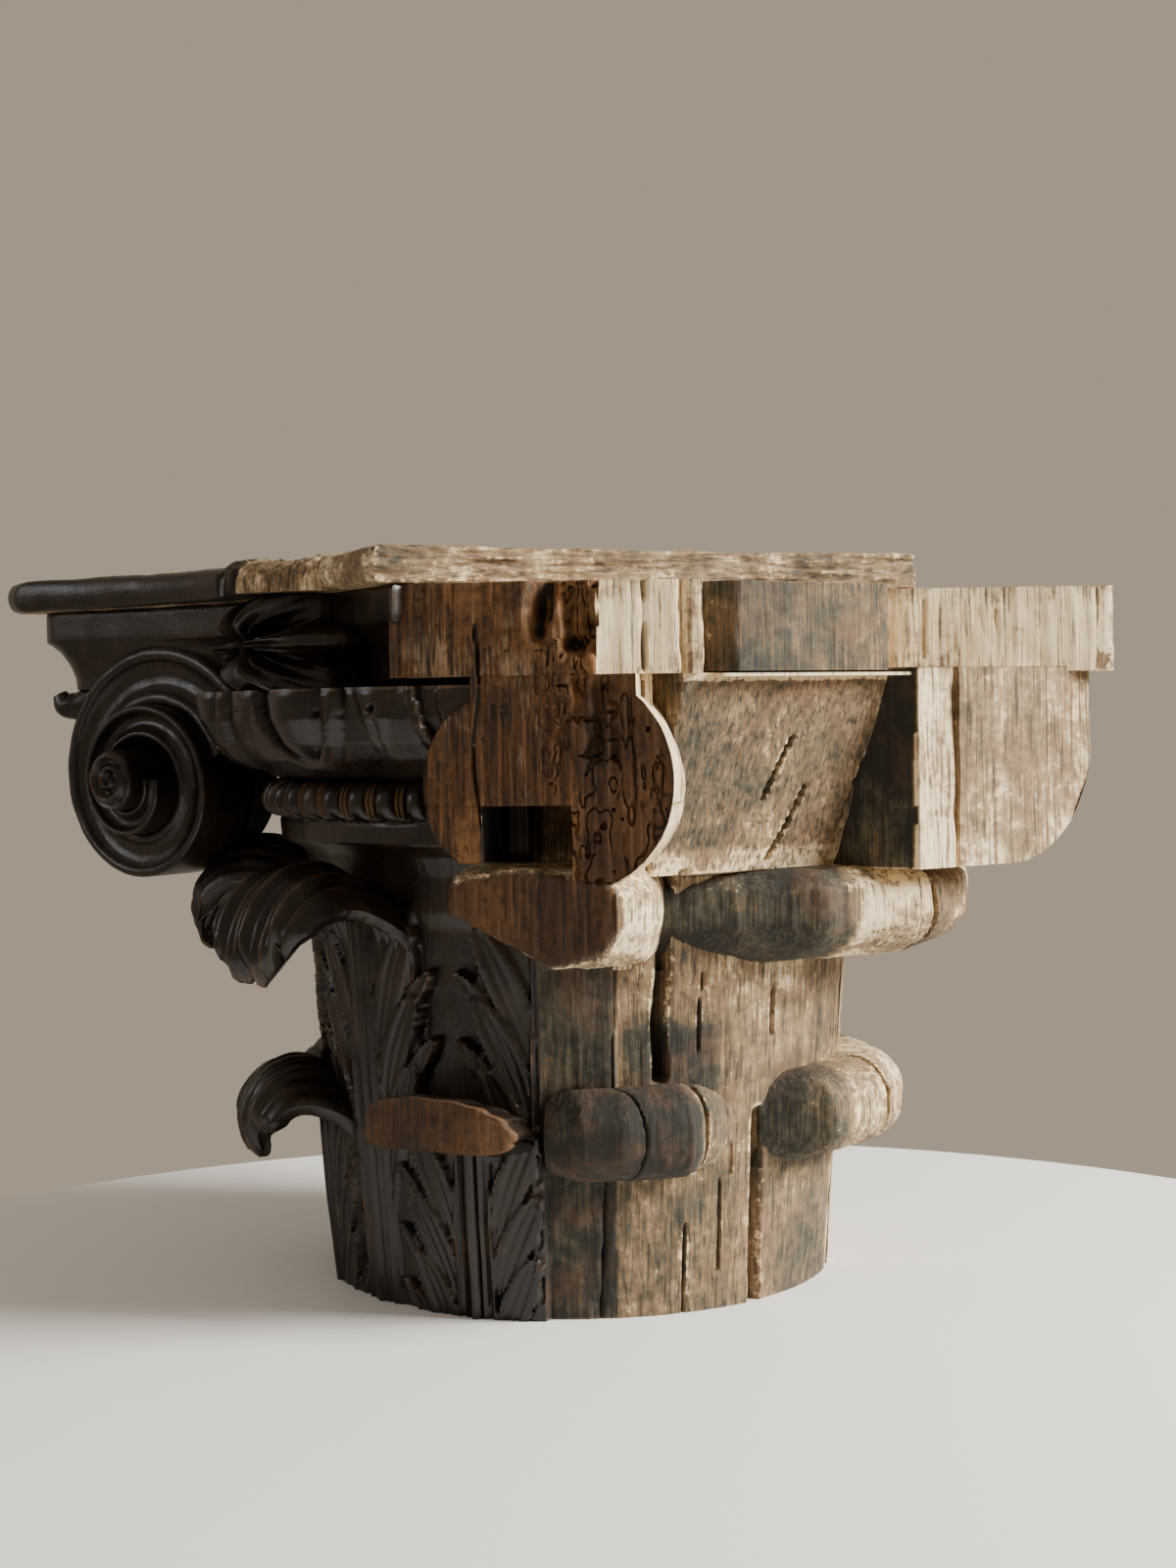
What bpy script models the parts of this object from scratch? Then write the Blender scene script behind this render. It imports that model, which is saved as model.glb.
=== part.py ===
"""Half-carved wooden capital of the composite order: a bell glued up from three upright blocks, and a thin
abacus board on top. Two neighbouring faces are carved, two are only blocked out, and the two corners between
them are sawn off flat. Metres, +Z up, origin at the centre of the underside, the near sawn corner at -X -Y.

Every shape is worked out for the faces that meet at the near sawn corner and mirrored through the upright
plane that holds the carved corner (-X +Y) and the blocked-out corner (+X -Y)."""

import math

import bmesh
import bpy
from mathutils import Matrix, Vector

# ---- driving dimensions --------------------------------------------------------------------------
BLOCK_TOP = 0.3372
BOARD_BOTTOM = 0.3375
BOARD_TOP = 0.354
NECK_HEIGHT = 0.205
ABACUS_BOTTOM = 0.2965
FILLET_BOTTOM = 0.322
FOOT_RADIUS = 0.1215

SEAM_LEFT = -0.0645         # glue joint between the carved and the middle block
SEAM_RIGHT = 0.0850         # glue joint between the middle and the outer block
SEAM_LEFT_GAP = 0.0010
SEAM_RIGHT_GAP = 0.0032
BOARD_END = 0.1030          # where the board stops towards +X
SAW_DISTANCE = 0.184        # from the axis to the flat of a sawn corner

CORE_STEP = 5               # degrees between two points around the turned core
EGG_PITCH = 30              # degrees between two eggs
EGG_HEIGHT = (0.254, 0.293)
EGG_SWELL = 0.010
EGG_SINK = 0.006

LEAF_THICKNESS = 0.011
UPPER_LEAF_HALF_WIDTH = 0.041
LOWER_LEAF_HALF_WIDTH = 0.039

VOLUTE_CENTRE = (-0.1690, 0.1370, 0.2570)
VOLUTE_RADIUS = 0.064
VOLUTE_TURN = 201           # degrees, the way that the volute's face looks
VOLUTE_THICKNESS = 0.026
WHORL_SHRINK = 0.62         # how much of its radius a whorl keeps after a full turn
WHORL_STEP = 0.009          # how far each whorl stands out from the one around it

FAR_BEYOND = 0.6            # longer than anything here, for cutters

# Turned profile of the carved half: (radius, height) from the foot up to inside the abacus.
CARVED_PROFILE = (
    (FOOT_RADIUS, 0.0),
    (0.1255, 0.045),
    (0.1290, 0.100),
    (0.1320, 0.150),
    (0.1370, NECK_HEIGHT),
    (0.1420, 0.2170),
    (0.1510, 0.2195),
    (0.1515, 0.2310),
    (0.1560, 0.2330),
    (0.1610, 0.2410),
    (0.1560, 0.2500),
    (0.1600, 0.2540),
    (0.1730, 0.2600),
    (0.1810, 0.2680),
    (0.1860, 0.2790),
    (0.1880, 0.2930),
    (0.1500, 0.2950),
    (0.1400, 0.3300),
)
# Half-width of the square that the blocked-out half is trimmed to above the neck, by height.
BLANK_AT_NECK = 0.144
BLANK_AT_ABACUS = 0.173


# Drying checks in the middle block's front: left, right, bottom, top; all reach in to the same depth.
CHECKS = (
    (0.0065, 0.0115, -0.0100, 0.0900),
    (-0.0475, -0.0415, 0.1120, 0.2020),
)
CHECK_FLOOR = 0.1080


# ---- small helpers -------------------------------------------------------------------------------
def polar(radius, degrees, height=0.0):
    """The point at a radius and an angle from +X."""
    a = math.radians(degrees)
    return Vector((radius * math.cos(a), radius * math.sin(a), height))


def between(value, table):
    """Straight-line reading of a table of (value, height) at a height."""
    for (v0, h0), (v1, h1) in zip(table, table[1:]):
        if value <= h1:
            return v0 + (v1 - v0) * (value - h0) / (h1 - h0)
    return table[-1][0]


def smooth(t):
    """From 0 to 1 without a corner at either end."""
    t = min(1.0, max(0.0, t))
    return t * t * (3 - 2 * t)


def loft(name, rings):
    """A closed body through rings of equally many points, with a flat cap at each end."""
    bm = bmesh.new()
    rows = [[bm.verts.new(p) for p in ring] for ring in rings]
    count = len(rows[0])
    for low, high in zip(rows, rows[1:]):
        for i in range(count):
            j = (i + 1) % count
            bm.faces.new((low[i], low[j], high[j], high[i]))
    bm.faces.new(list(reversed(rows[0])))
    bm.faces.new(rows[-1])
    bm.normal_update()
    bmesh.ops.triangulate(bm, faces=bm.faces[:])
    bmesh.ops.recalc_face_normals(bm, faces=bm.faces[:])
    mesh = bpy.data.meshes.new(name)
    bm.to_mesh(mesh)
    bm.free()
    obj = bpy.data.objects.new(name, mesh)
    bpy.context.scene.collection.objects.link(obj)
    return obj


def pulled_in(point, amount, inner):
    """A plan point moved towards the axis, unless it already lies inside the inner radius."""
    flat = Vector((point[0], point[1], 0))
    if flat.length <= inner:
        return flat
    return flat * ((flat.length - amount) / flat.length)


def stack(name, plan, levels, inner=0.13):
    """A body with one plan at every level; a level is (height, how far its rim is pulled in)."""
    rings = []
    for height, amount in levels:
        ring = [pulled_in(p, amount, inner) for p in plan]
        rings.append([(p.x, p.y, height) for p in ring])
    return loft(name, rings)


def through_mirror(point):
    """A point's image in the upright plane through the carved and the blocked-out corner."""
    return (-point[1], -point[0])


def apply_boolean(obj, others, operation):
    """Unites obj with other bodies, cuts them from it or intersects it with them, and drops them."""
    group = bpy.data.collections.new("operands")
    for other in others:
        group.objects.link(other)
    modifier = obj.modifiers.new(operation.lower(), "BOOLEAN")
    modifier.operation = operation
    modifier.solver = "EXACT"
    modifier.operand_type = "COLLECTION"
    modifier.collection = group
    graph = bpy.context.evaluated_depsgraph_get()
    result = bpy.data.meshes.new_from_object(obj.evaluated_get(graph))
    obj.modifiers.clear()
    obj.data = result
    for other in others:
        bpy.data.objects.remove(other)
    bpy.data.collections.remove(group)


def mirrored(obj):
    """A copy of a body in the mirror plane, still facing outwards."""
    copy = obj.copy()
    copy.data = obj.data.copy()
    bpy.context.scene.collection.objects.link(copy)
    swap = Matrix(((0, -1, 0, 0), (-1, 0, 0, 0), (0, 0, 1, 0), (0, 0, 0, 1)))
    copy.data.transform(swap)
    copy.data.flip_normals()
    return copy


def slab(name, low, high):
    """A box between two corners."""
    x0, y0, z0 = low
    x1, y1, z1 = high
    plan = ((x0, y0), (x1, y0), (x1, y1), (x0, y1))
    return loft(name, [[(x, y, z0) for x, y in plan], [(x, y, z1) for x, y in plan]])


# ---- turned core ---------------------------------------------------------------------------------
def carved_share(degrees):
    """1 on the carved half, 0 on the blocked-out half."""
    off = abs((degrees - 135 + 180) % 360 - 180)
    return smooth((92 - off) / 4)


def egg_relief(degrees, height):
    """How far an egg stands out of the echinus, or the shell around it sinks."""
    low, high = EGG_HEIGHT
    if not low < height < high:
        return 0.0
    across = ((degrees + EGG_PITCH / 2) % EGG_PITCH - EGG_PITCH / 2) / (EGG_PITCH * 0.30)
    up = (height - low) / (high - low)
    inside = 1 - across * across - (1.1 * (1 - up)) ** 2
    if inside > 0:
        return EGG_SWELL * math.sqrt(inside) - EGG_SINK / 2
    return -EGG_SINK * smooth(1 + inside) * 0.5


def core_radius(degrees, height):
    """The core's radius: turned mouldings on the carved half, a squared blank above the neck on the other."""
    turned = between(height, CARVED_PROFILE) + egg_relief(degrees, height) * carved_share(degrees)
    if height <= NECK_HEIGHT:
        return turned
    rise = min(1.0, (height - NECK_HEIGHT) / (ABACUS_BOTTOM - NECK_HEIGHT))
    half = BLANK_AT_NECK + (BLANK_AT_ABACUS - BLANK_AT_NECK) * rise
    facing = (degrees + 45) % 90 - 45
    blank = min(half / math.cos(math.radians(facing)), half * 1.16)
    if height > ABACUS_BOTTOM:
        blank = turned
    share = carved_share(degrees)
    return turned * share + blank * (1 - share)


def core():
    """The turned bell, necking, bead, echinus and its stub inside the abacus."""
    heights = [h for _, h in CARVED_PROFILE]
    rings = []
    for h in heights:
        ring = [polar(core_radius(a, h), a, h) for a in range(0, 360, CORE_STEP)]
        rings.append(ring)
    return loft("core", rings)


# ---- carved leaves -------------------------------------------------------------------------------
def leaf_path(foot, top, tip_radius, tip_drop, curl):
    """The leaf's middle line as (radius, height): up along the bell, then over in a curl that hangs down."""
    path = []
    shoulder = top - curl
    for k in range(5):
        h = foot + (shoulder - foot) * k / 4
        path.append((between(h, CARVED_PROFILE) + 0.0015, h))
    start = path[-1][0]
    reach = tip_radius - start
    for k in range(1, 5):
        a = math.radians(90 * k / 4)
        path.append((start + reach * 0.62 * (1 - math.cos(a)), shoulder + curl * math.sin(a)))
    for k in range(1, 4):
        a = math.radians(90 * k / 3)
        path.append((start + reach * (0.62 + 0.38 * math.sin(a)), top - tip_drop * (1 - math.cos(a))))
    return path


def leaf_half_width(t, half_width):
    """Half of the leaf's width at a share t of its length, scalloped into lobes."""
    swell = 0.86 + 0.14 * math.sin(math.pi * min(1.0, t * 1.2))
    lobes = 1 - 0.13 * abs(math.sin(4 * math.pi * t))
    tip = 1 - 0.22 * smooth((t - 0.8) / 0.2)
    return half_width * swell * lobes * tip


LEAF_RELIEF = (0.0005, 0.0030, 0.0010, 0.0035, 0.0055, 0.0035, 0.0010, 0.0030, 0.0005)


def carved_leaf(name, degrees, foot, top, tip_radius, tip_drop, curl, half_width):
    """An acanthus leaf laid on the bell, with a raised midrib, lobed edges and a curled tip."""
    path = leaf_path(foot, top, tip_radius, tip_drop, curl)
    count = len(LEAF_RELIEF)
    rings = []
    for k, (radius, height) in enumerate(path):
        before = path[max(0, k - 1)]
        after = path[min(len(path) - 1, k + 1)]
        along = Vector((after[0] - before[0], after[1] - before[1])).normalized()
        out = Vector((along.y, -along.x))
        wide = leaf_half_width(k / (len(path) - 1), half_width)
        front = []
        back = []
        for i in range(count):
            side = 2 * i / (count - 1) - 1
            turn = degrees + math.degrees(side * wide / (radius + 0.01))
            lift = LEAF_RELIEF[i]
            front.append(polar(radius + out.x * lift, turn, height + out.y * lift))
            back.append(polar(radius - out.x * LEAF_THICKNESS, turn, height - out.y * LEAF_THICKNESS))
        rings.append(front + list(reversed(back)))
    return loft(name, rings)


# ---- blocked-out leaves, volutes and abacus ------------------------------------------------------
BLANK_UPPER_PLAN = (
    (-0.0480, -0.1265),
    (0.0180, -0.1710),
    (0.0850, -0.1715),
    (0.1080, -0.1640),
    (0.1260, -0.1500),
    (0.1360, -0.1360),
    (0.0700, -0.0700),
    (-0.0200, -0.0900),
)
BLANK_UPPER_LEVELS = (
    (0.1630, 0.022),
    (0.1660, 0.008),
    (0.1760, 0.000),
    (0.1930, 0.000),
    (0.2030, 0.005),
    (0.2075, 0.016),
)
BLANK_LOWER_LEFT_PLAN = (
    (-0.0940, -0.1000),
    (-0.0900, -0.1240),
    (-0.0740, -0.1370),
    (-0.0440, -0.1480),
    (-0.0040, -0.1270),
    (-0.0300, -0.0900),
)
BLANK_LOWER_RIGHT_PLAN = (
    (0.0100, -0.1270),
    (0.0400, -0.1500),
    (0.0850, -0.1360),
    (0.1080, -0.1200),
    (0.1240, -0.0980),
    (0.0700, -0.0500),
)
BLANK_LOWER_LEVELS = (
    (0.0660, 0.020),
    (0.0690, 0.007),
    (0.0790, 0.000),
    (0.0960, 0.000),
    (0.1040, 0.005),
    (0.1080, 0.016),
)


def near_leaf():
    """The half-carved leaf under the sawn corner: a squared nose, rounded above and below."""
    along = polar(1, 225)
    across = polar(1, 315)
    outline = (
        (0.120, -0.024),
        (0.188, -0.032),
        (0.202, 0.006),
        (0.190, 0.044),
        (0.166, 0.060),
        (0.120, 0.060),
    )
    plan = [along * r + across * u for r, u in outline]
    levels = (
        (0.1640, 0.026),
        (0.1700, 0.012),
        (0.1850, 0.0),
        (0.2020, 0.0),
        (0.2080, 0.010),
        (0.2120, 0.022),
    )
    return stack("near leaf", [(p.x, p.y) for p in plan], levels, inner=0.131)


def extruded_section(name, section, start, end, degrees):
    """A section of (sideways, height) points carried outwards from start to end along an angle."""
    along = polar(1, degrees)
    across = polar(1, degrees + 90)
    rings = []
    for distance in (start, end):
        ring = [along * distance + across * u + Vector((0, 0, h)) for u, h in section]
        rings.append(ring)
    return loft(name, rings)


def arc(centre, radius, first, last, steps):
    """Points on a round stretch of a section, angles in degrees."""
    points = []
    for k in range(steps + 1):
        a = math.radians(first + (last - first) * k / steps)
        points.append((centre[0] + radius * math.cos(a), centre[1] + radius * math.sin(a)))
    return points


def near_corner_blank():
    """The sawn corner's two volute lobes and the solid wood over the notch between them."""
    left = [(-0.0090, 0.2150), (-0.0090, 0.2985), (-0.0190, 0.2985)]
    left += arc((-0.0060, 0.2560), 0.0290, 120, 235, 6)
    right = [(0.0275, 0.2985), (0.0300, 0.2070), (0.0480, 0.2070)]
    right += arc((0.0320, 0.2500), 0.0420, -55, 40, 6)
    right += [(0.0560, 0.2985)]
    bridge = [(-0.0150, 0.2400), (0.0400, 0.2400), (0.0400, 0.2990), (-0.0150, 0.2990)]
    bodies = [
        extruded_section("left lobe", left, 0.105, 0.200, 225),
        extruded_section("right lobe", right, 0.104, 0.203, 225),
        extruded_section("lobe bridge", bridge, 0.103, 0.206, 225),
    ]
    return bodies


def right_volute_blank():
    """Half of the blocked-out corner: a thick plate towards -Y whose outer lower edge is rounded off."""
    section = [(0.0610, 0.2050), (0.1180, 0.2050)]
    section += arc((0.1180, 0.2600), 0.0550, -75, 0, 6)
    section += [(0.1740, 0.2985), (0.0610, 0.2985)]
    rings = []
    for depth, skew in ((-0.1860, 0.0), (-0.1400, -0.022), (-0.1150, -0.032)):
        reach = 0.0 if depth < -0.18 else -0.030
        ring = []
        for x, h in section:
            lean = skew if x < 0.07 else reach
            ring.append((x + lean, depth, h))
        rings.append(ring)
    return loft("volute blank", rings)


NEAR_ABACUS_PLAN = (
    (-0.1900, -0.1000),
    (-0.1650, -0.0930),
    (-0.1000, -0.0300),
    (-0.0400, -0.0200),
    (-0.0500, -0.1380),
    (-0.0560, -0.1480),
    (-0.0560, -0.1780),
    (-0.0990, -0.1570),
    (-0.1500, -0.2000),
)
RIGHT_ABACUS_PLAN = (
    (-0.0700, -0.0400),
    (-0.0600, -0.1370),
    (0.0850, -0.1390),
    (0.1780, -0.1980),
    (0.1980, -0.1780),
    (0.1390, -0.0850),
    (0.1370, 0.0600),
    (0.0400, 0.0700),
)
ROSETTE_BLANK_PLAN = (
    (-0.0480, -0.1200),
    (-0.0480, -0.1700),
    (-0.0400, -0.1810),
    (0.0480, -0.1810),
    (0.0590, -0.1650),
    (0.0590, -0.1200),
)


def concave_side(middle, corner, reach, start, end, steps):
    """Plan points of a hollow abacus side towards -X: its distance grows with the square of the way along."""
    points = []
    for k in range(steps + 1):
        y = start + (end - start) * k / steps
        points.append((-(middle + (corner - middle) * (y / reach) ** 2), y))
    return points


def carved_abacus():
    """The abacus under the board on the two carved sides, hollow in plan, with the carved corner between."""
    side = concave_side(0.154, 0.206, 0.196, -0.120, 0.192, 10)
    plan = side + [(-0.2030, 0.2030)] + [through_mirror(p) for p in reversed(side)]
    plan += [(0.0700, 0.0700), (-0.0700, -0.0700)]
    levels = (
        (ABACUS_BOTTOM, 0.016),
        (0.3060, 0.014),
        (0.3160, 0.008),
        (FILLET_BOTTOM, 0.002),
        (0.3225, 0.000),
        (BLOCK_TOP, 0.000),
    )
    return stack("carved abacus", plan, levels)


def rosette():
    """The flower in the middle of the carved side, under the board: petals as a wavy rim."""
    rings = []
    levels = ((0.2840, 0.008, 0.162), (0.2940, 0.024, 0.176), (0.3080, 0.034, 0.187),
              (0.3220, 0.037, 0.191), (0.3340, 0.036, 0.189), (BLOCK_TOP, 0.034, 0.188))
    for height, half, front in levels:
        ring = [(-0.140, -half, height), (-0.140, half, height)]
        for k in range(9):
            side = 1 - k / 4
            petal = 0.004 * math.cos(4 * math.pi * side) * half / 0.037
            ring.append((-(front - 0.012 * side * side + petal), half * side, height))
        rings.append(ring)
    return loft("rosette", rings)


# ---- carved volute -------------------------------------------------------------------------------
def spiral_plate(name, centre, normal_degrees, radius, back, front, first, steps=26):
    """A plate with a snail outline: its radius shrinks evenly around one turn, and a step closes it."""
    outward = polar(1, normal_degrees)
    side = polar(1, normal_degrees - 90)
    middle = Vector(centre)
    rings = []
    for depth in (back, front):
        ring = []
        for k in range(steps + 1):
            share = k / steps
            r = radius * WHORL_SHRINK ** share
            a = math.radians(first) - 2 * math.pi * share * (1 - 0.5 / steps)
            ring.append(middle + outward * depth + side * (r * math.cos(a)) + Vector((0, 0, r * math.sin(a))))
        rings.append(ring)
    return loft(name, rings)


def carved_volute(name, centre, normal_degrees):
    """Three snail plates and an eye, each standing out from the one around it like a ram's horn."""
    bodies = [spiral_plate(name, centre, normal_degrees, VOLUTE_RADIUS * 1.08, -VOLUTE_THICKNESS, 0.0, 60)]
    radius = VOLUTE_RADIUS * 0.80
    for k in range(1, 3):
        low = -0.006 * k
        high = WHORL_STEP * k
        whorl = spiral_plate(name, centre, normal_degrees, radius, low, high, 60 - 50 * k, 20)
        bodies.append(whorl)
        radius *= WHORL_SHRINK
    outward = polar(1, normal_degrees)
    side = polar(1, normal_degrees - 90)
    rings = []
    for depth, r in ((-0.010, 0.012), (0.020, 0.012), (0.026, 0.007)):
        ring = []
        for k in range(12):
            a = math.radians(30 * k + 7)
            round_eye = side * (r * math.cos(a)) + Vector((0, 0, r * math.sin(a)))
            ring.append(Vector(centre) + outward * depth + round_eye)
        rings.append(ring)
    bodies.append(loft(name + " eye", rings))
    return bodies


def volute_neck():
    """The wood that carries the carved corner's volutes, from the echinus out under the abacus."""
    along = polar(1, 135)
    across = polar(1, 225)
    rings = []
    for distance, half in ((0.1055, 0.026), (0.2150, 0.020), (0.2450, 0.006)):
        section = ((-0.8 * half, 0.215), (0.8 * half, 0.215), (half, 0.245), (half, 0.299), (-half, 0.299),
                   (-half, 0.245))
        rings.append([along * distance + across * u + Vector((0, 0, h)) for u, h in section])
    return loft("volute neck", rings)


def horn_lip():
    """The small scroll end that hangs under the tip of the carved corner's abacus."""
    section = arc((0.0, 0.2900), 0.0075, 0, 315, 7)
    return extruded_section("horn lip", section, 0.2300, 0.2800, 135)


def volute_band():
    """The band that runs from the top of the volute along the echinus towards the middle of the face."""
    centre = Vector(VOLUTE_CENTRE)
    rings = []
    for k in range(5):
        share = k / 4
        x = -0.1640 - 0.0100 * share
        y = 0.0560 + (centre.y - 0.0560 + 0.006) * share
        top = 0.2960 + 0.0240 * smooth(share)
        rings.append([
            (x + 0.022, y, top - 0.014),
            (x + 0.022, y, top),
            (x - 0.016, y, top),
            (x - 0.018, y, top - 0.010),
        ])
    return loft("volute band", rings)


# ---- whole work ----------------------------------------------------------------------------------
def half_bodies():
    """Everything on the near side of the mirror plane, as overlapping closed bodies."""
    bodies = []
    upper = dict(foot=0.106, top=0.1990, tip_drop=0.034, curl=0.032, half_width=UPPER_LEAF_HALF_WIDTH)
    lower = dict(foot=0.0012, top=0.1010, tip_drop=0.026, curl=0.024, half_width=LOWER_LEAF_HALF_WIDTH)
    bodies.append(carved_leaf("upper leaf", 184, tip_radius=0.192, **upper))
    bodies.append(carved_leaf("lower leaf left", 161, tip_radius=0.165, **lower))
    bodies.append(carved_leaf("lower leaf right", 211, tip_radius=0.165, **lower))
    bodies.append(near_leaf())
    bodies.append(stack("upper blank", BLANK_UPPER_PLAN, BLANK_UPPER_LEVELS, inner=0.131))
    bodies.append(stack("lower blank left", BLANK_LOWER_LEFT_PLAN, BLANK_LOWER_LEVELS, inner=0.1285))
    bodies.append(stack("lower blank right", BLANK_LOWER_RIGHT_PLAN, BLANK_LOWER_LEVELS, inner=0.1285))
    bodies.append(right_volute_blank())
    bodies += near_corner_blank()
    bodies += carved_volute("volute", VOLUTE_CENTRE, VOLUTE_TURN)
    bodies.append(volute_band())
    abacus_levels = ((ABACUS_BOTTOM + 0.0001, 0.0), (BLOCK_TOP, 0.0))
    bodies.append(stack("near abacus", NEAR_ABACUS_PLAN, abacus_levels))
    rosette_levels = ((0.2968, 0.0), (0.3300, 0.0), (BLOCK_TOP, 0.003))
    bodies.append(stack("rosette blank", ROSETTE_BLANK_PLAN, rosette_levels))
    bodies.append(rosette())
    return bodies


def shared_bodies():
    """What lies on the mirror plane itself."""
    upper = dict(foot=0.106, top=0.2050, tip_drop=0.036, curl=0.034, half_width=UPPER_LEAF_HALF_WIDTH)
    return [
        core(),
        carved_leaf("corner leaf", 135, tip_radius=0.192, **upper),
        volute_neck(),
        horn_lip(),
        carved_abacus(),
        stack("right abacus", RIGHT_ABACUS_PLAN, ((ABACUS_BOTTOM + 0.0002, 0.0), (BLOCK_TOP, 0.0))),
    ]


def whole_work():
    """One closed body of everything under the board, before it is parted at the glue joints."""
    bodies = shared_bodies()
    for body in half_bodies():
        bodies.append(mirrored(body))
        bodies.append(body)
    work = bodies[0]
    apply_boolean(work, bodies[1:], "UNION")
    reach = FAR_BEYOND / 2
    cut = [(-reach, -0.1), (reach, -0.1), (reach, 0.5), (-reach, 0.5)]
    cutters = [extruded_section("saw", cut, SAW_DISTANCE, SAW_DISTANCE + 0.2, a) for a in (225, 45)]
    for left, right, low, high in CHECKS:
        cutters.append(slab("check", (left, -0.300, low), (right, -CHECK_FLOOR, high)))
    apply_boolean(work, cutters, "DIFFERENCE")
    work.name = "whole"
    return work


def material(name, colour, roughness):
    """A plain Principled material."""
    made = bpy.data.materials.new(name)
    made.use_nodes = True
    shader = made.node_tree.nodes["Principled BSDF"]
    shader.inputs["Base Color"].default_value = (*colour, 1)
    shader.inputs["Roughness"].default_value = roughness
    shader.inputs["Metallic"].default_value = 0
    made.diffuse_color = (*colour, 1)
    return made


def block(name, work, low_x, high_x, finish):
    """The part of the work between two upright planes."""
    piece = work.copy()
    piece.data = work.data.copy()
    bpy.context.scene.collection.objects.link(piece)
    keep = slab(name + " keep", (low_x, -FAR_BEYOND, -0.1), (high_x, FAR_BEYOND, FAR_BEYOND))
    apply_boolean(piece, [keep], "INTERSECT")
    piece.name = name
    piece.data.name = name
    piece.data.materials.clear()
    piece.data.materials.append(finish)
    return piece


def board(finish):
    """The thin top board: hollow, round-edged sides where it is carved, sawn straight on the other two."""
    side = concave_side(0.168, 0.222, 0.209, -0.098, 0.204, 12)
    carved = side + [(-0.2180, 0.2180)] + [through_mirror(p) for p in reversed(side)]
    plan = [p for p in carved if p[0] < BOARD_END]
    plan += [(BOARD_END, 0.1820), (BOARD_END, -0.1410)]
    levels = ((BOARD_BOTTOM, 0.006), (0.3410, 0.0015), (0.3460, 0.0), (0.3510, 0.0015), (BOARD_TOP, 0.005))
    piece = stack("top_board", plan, levels, inner=0.1)
    flower = []
    for height, half, front in ((0.3378, 0.034, 0.187), (0.3450, 0.031, 0.186), (0.3535, 0.026, 0.178)):
        flower.append([
            (-0.150, -half, height),
            (-0.150, half, height),
            (-front + 0.012, half, height),
            (-front, half * 0.4, height),
            (-front, -half * 0.4, height),
            (-front + 0.010, -half, height),
        ])
    flower = loft("board flower", flower)
    apply_boolean(piece, [mirrored(flower), flower], "UNION")
    piece.data.materials.clear()
    piece.data.materials.append(finish)
    return piece


def clear_scene():
    """Starts from an empty scene."""
    for obj in list(bpy.data.objects):
        bpy.data.objects.remove(obj)


def main():
    clear_scene()
    work = whole_work()
    wax = material("waxed carving", (0.045, 0.027, 0.018), 0.35)
    grey = material("grey blank", (0.21, 0.18, 0.13), 0.8)
    tan = material("tan blank", (0.33, 0.25, 0.16), 0.8)
    half_left = SEAM_LEFT_GAP / 2
    half_right = SEAM_RIGHT_GAP / 2
    block("carved_block", work, -FAR_BEYOND, SEAM_LEFT - half_left, wax)
    block("middle_block", work, SEAM_LEFT + half_left, SEAM_RIGHT - half_right, grey)
    block("outer_block", work, SEAM_RIGHT + half_right, FAR_BEYOND, tan)
    bpy.data.objects.remove(work)
    board(material("sawn board", (0.30, 0.20, 0.13), 0.75))


main()
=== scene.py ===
"""Half-carved wooden capital: carved relief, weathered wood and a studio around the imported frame."""

import math

import bpy
import numpy as np
from bpy.props import FloatProperty, FloatVectorProperty, PointerProperty
from mathutils import Matrix, Vector


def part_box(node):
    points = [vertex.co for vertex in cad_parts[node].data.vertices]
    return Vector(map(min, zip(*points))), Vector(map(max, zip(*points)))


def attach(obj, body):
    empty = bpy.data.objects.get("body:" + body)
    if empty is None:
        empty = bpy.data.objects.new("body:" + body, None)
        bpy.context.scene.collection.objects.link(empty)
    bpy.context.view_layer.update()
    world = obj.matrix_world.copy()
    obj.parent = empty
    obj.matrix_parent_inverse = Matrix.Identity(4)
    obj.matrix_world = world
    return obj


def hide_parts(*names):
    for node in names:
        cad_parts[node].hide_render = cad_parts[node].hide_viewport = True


bl_info = {
    "name": "Half-carved capital",
    "version": (1, 0, 0),
    "blender": (4, 5, 0),
    "location": "3D View > Sidebar > Capital",
    "description": "Builds the carved and the blocked-out wood of a composite capital",
    "category": "Add Mesh",
}

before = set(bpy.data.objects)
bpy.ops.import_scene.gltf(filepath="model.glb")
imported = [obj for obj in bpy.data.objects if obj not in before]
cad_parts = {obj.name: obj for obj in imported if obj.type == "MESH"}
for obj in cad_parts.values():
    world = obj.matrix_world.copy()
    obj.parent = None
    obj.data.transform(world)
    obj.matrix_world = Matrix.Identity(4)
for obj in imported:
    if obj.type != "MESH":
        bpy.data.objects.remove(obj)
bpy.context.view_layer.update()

CARVED_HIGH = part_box("carved_block")[1]
MIDDLE_LOW, MIDDLE_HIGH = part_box("middle_block")
OUTER_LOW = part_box("outer_block")[0]
BOARD_LOW, BOARD_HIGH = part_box("top_board")
SEAM_LEFT = (CARVED_HIGH[0], MIDDLE_LOW[0])  # the two glue joints, as pairs of x
SEAM_RIGHT = (MIDDLE_HIGH[0], OUTER_LOW[0])
FAR = 1.0  # beyond everything

MM = 0.001
TURN = 2 * math.pi
ROOT2 = math.sqrt(2)
UPRIGHT = np.array((0, 0, 1.0))
BLOCK_TOP = CARVED_HIGH[2]
ABACUS_BOTTOM = 0.2965
NECK = 0.205
SAW = 0.184

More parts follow.
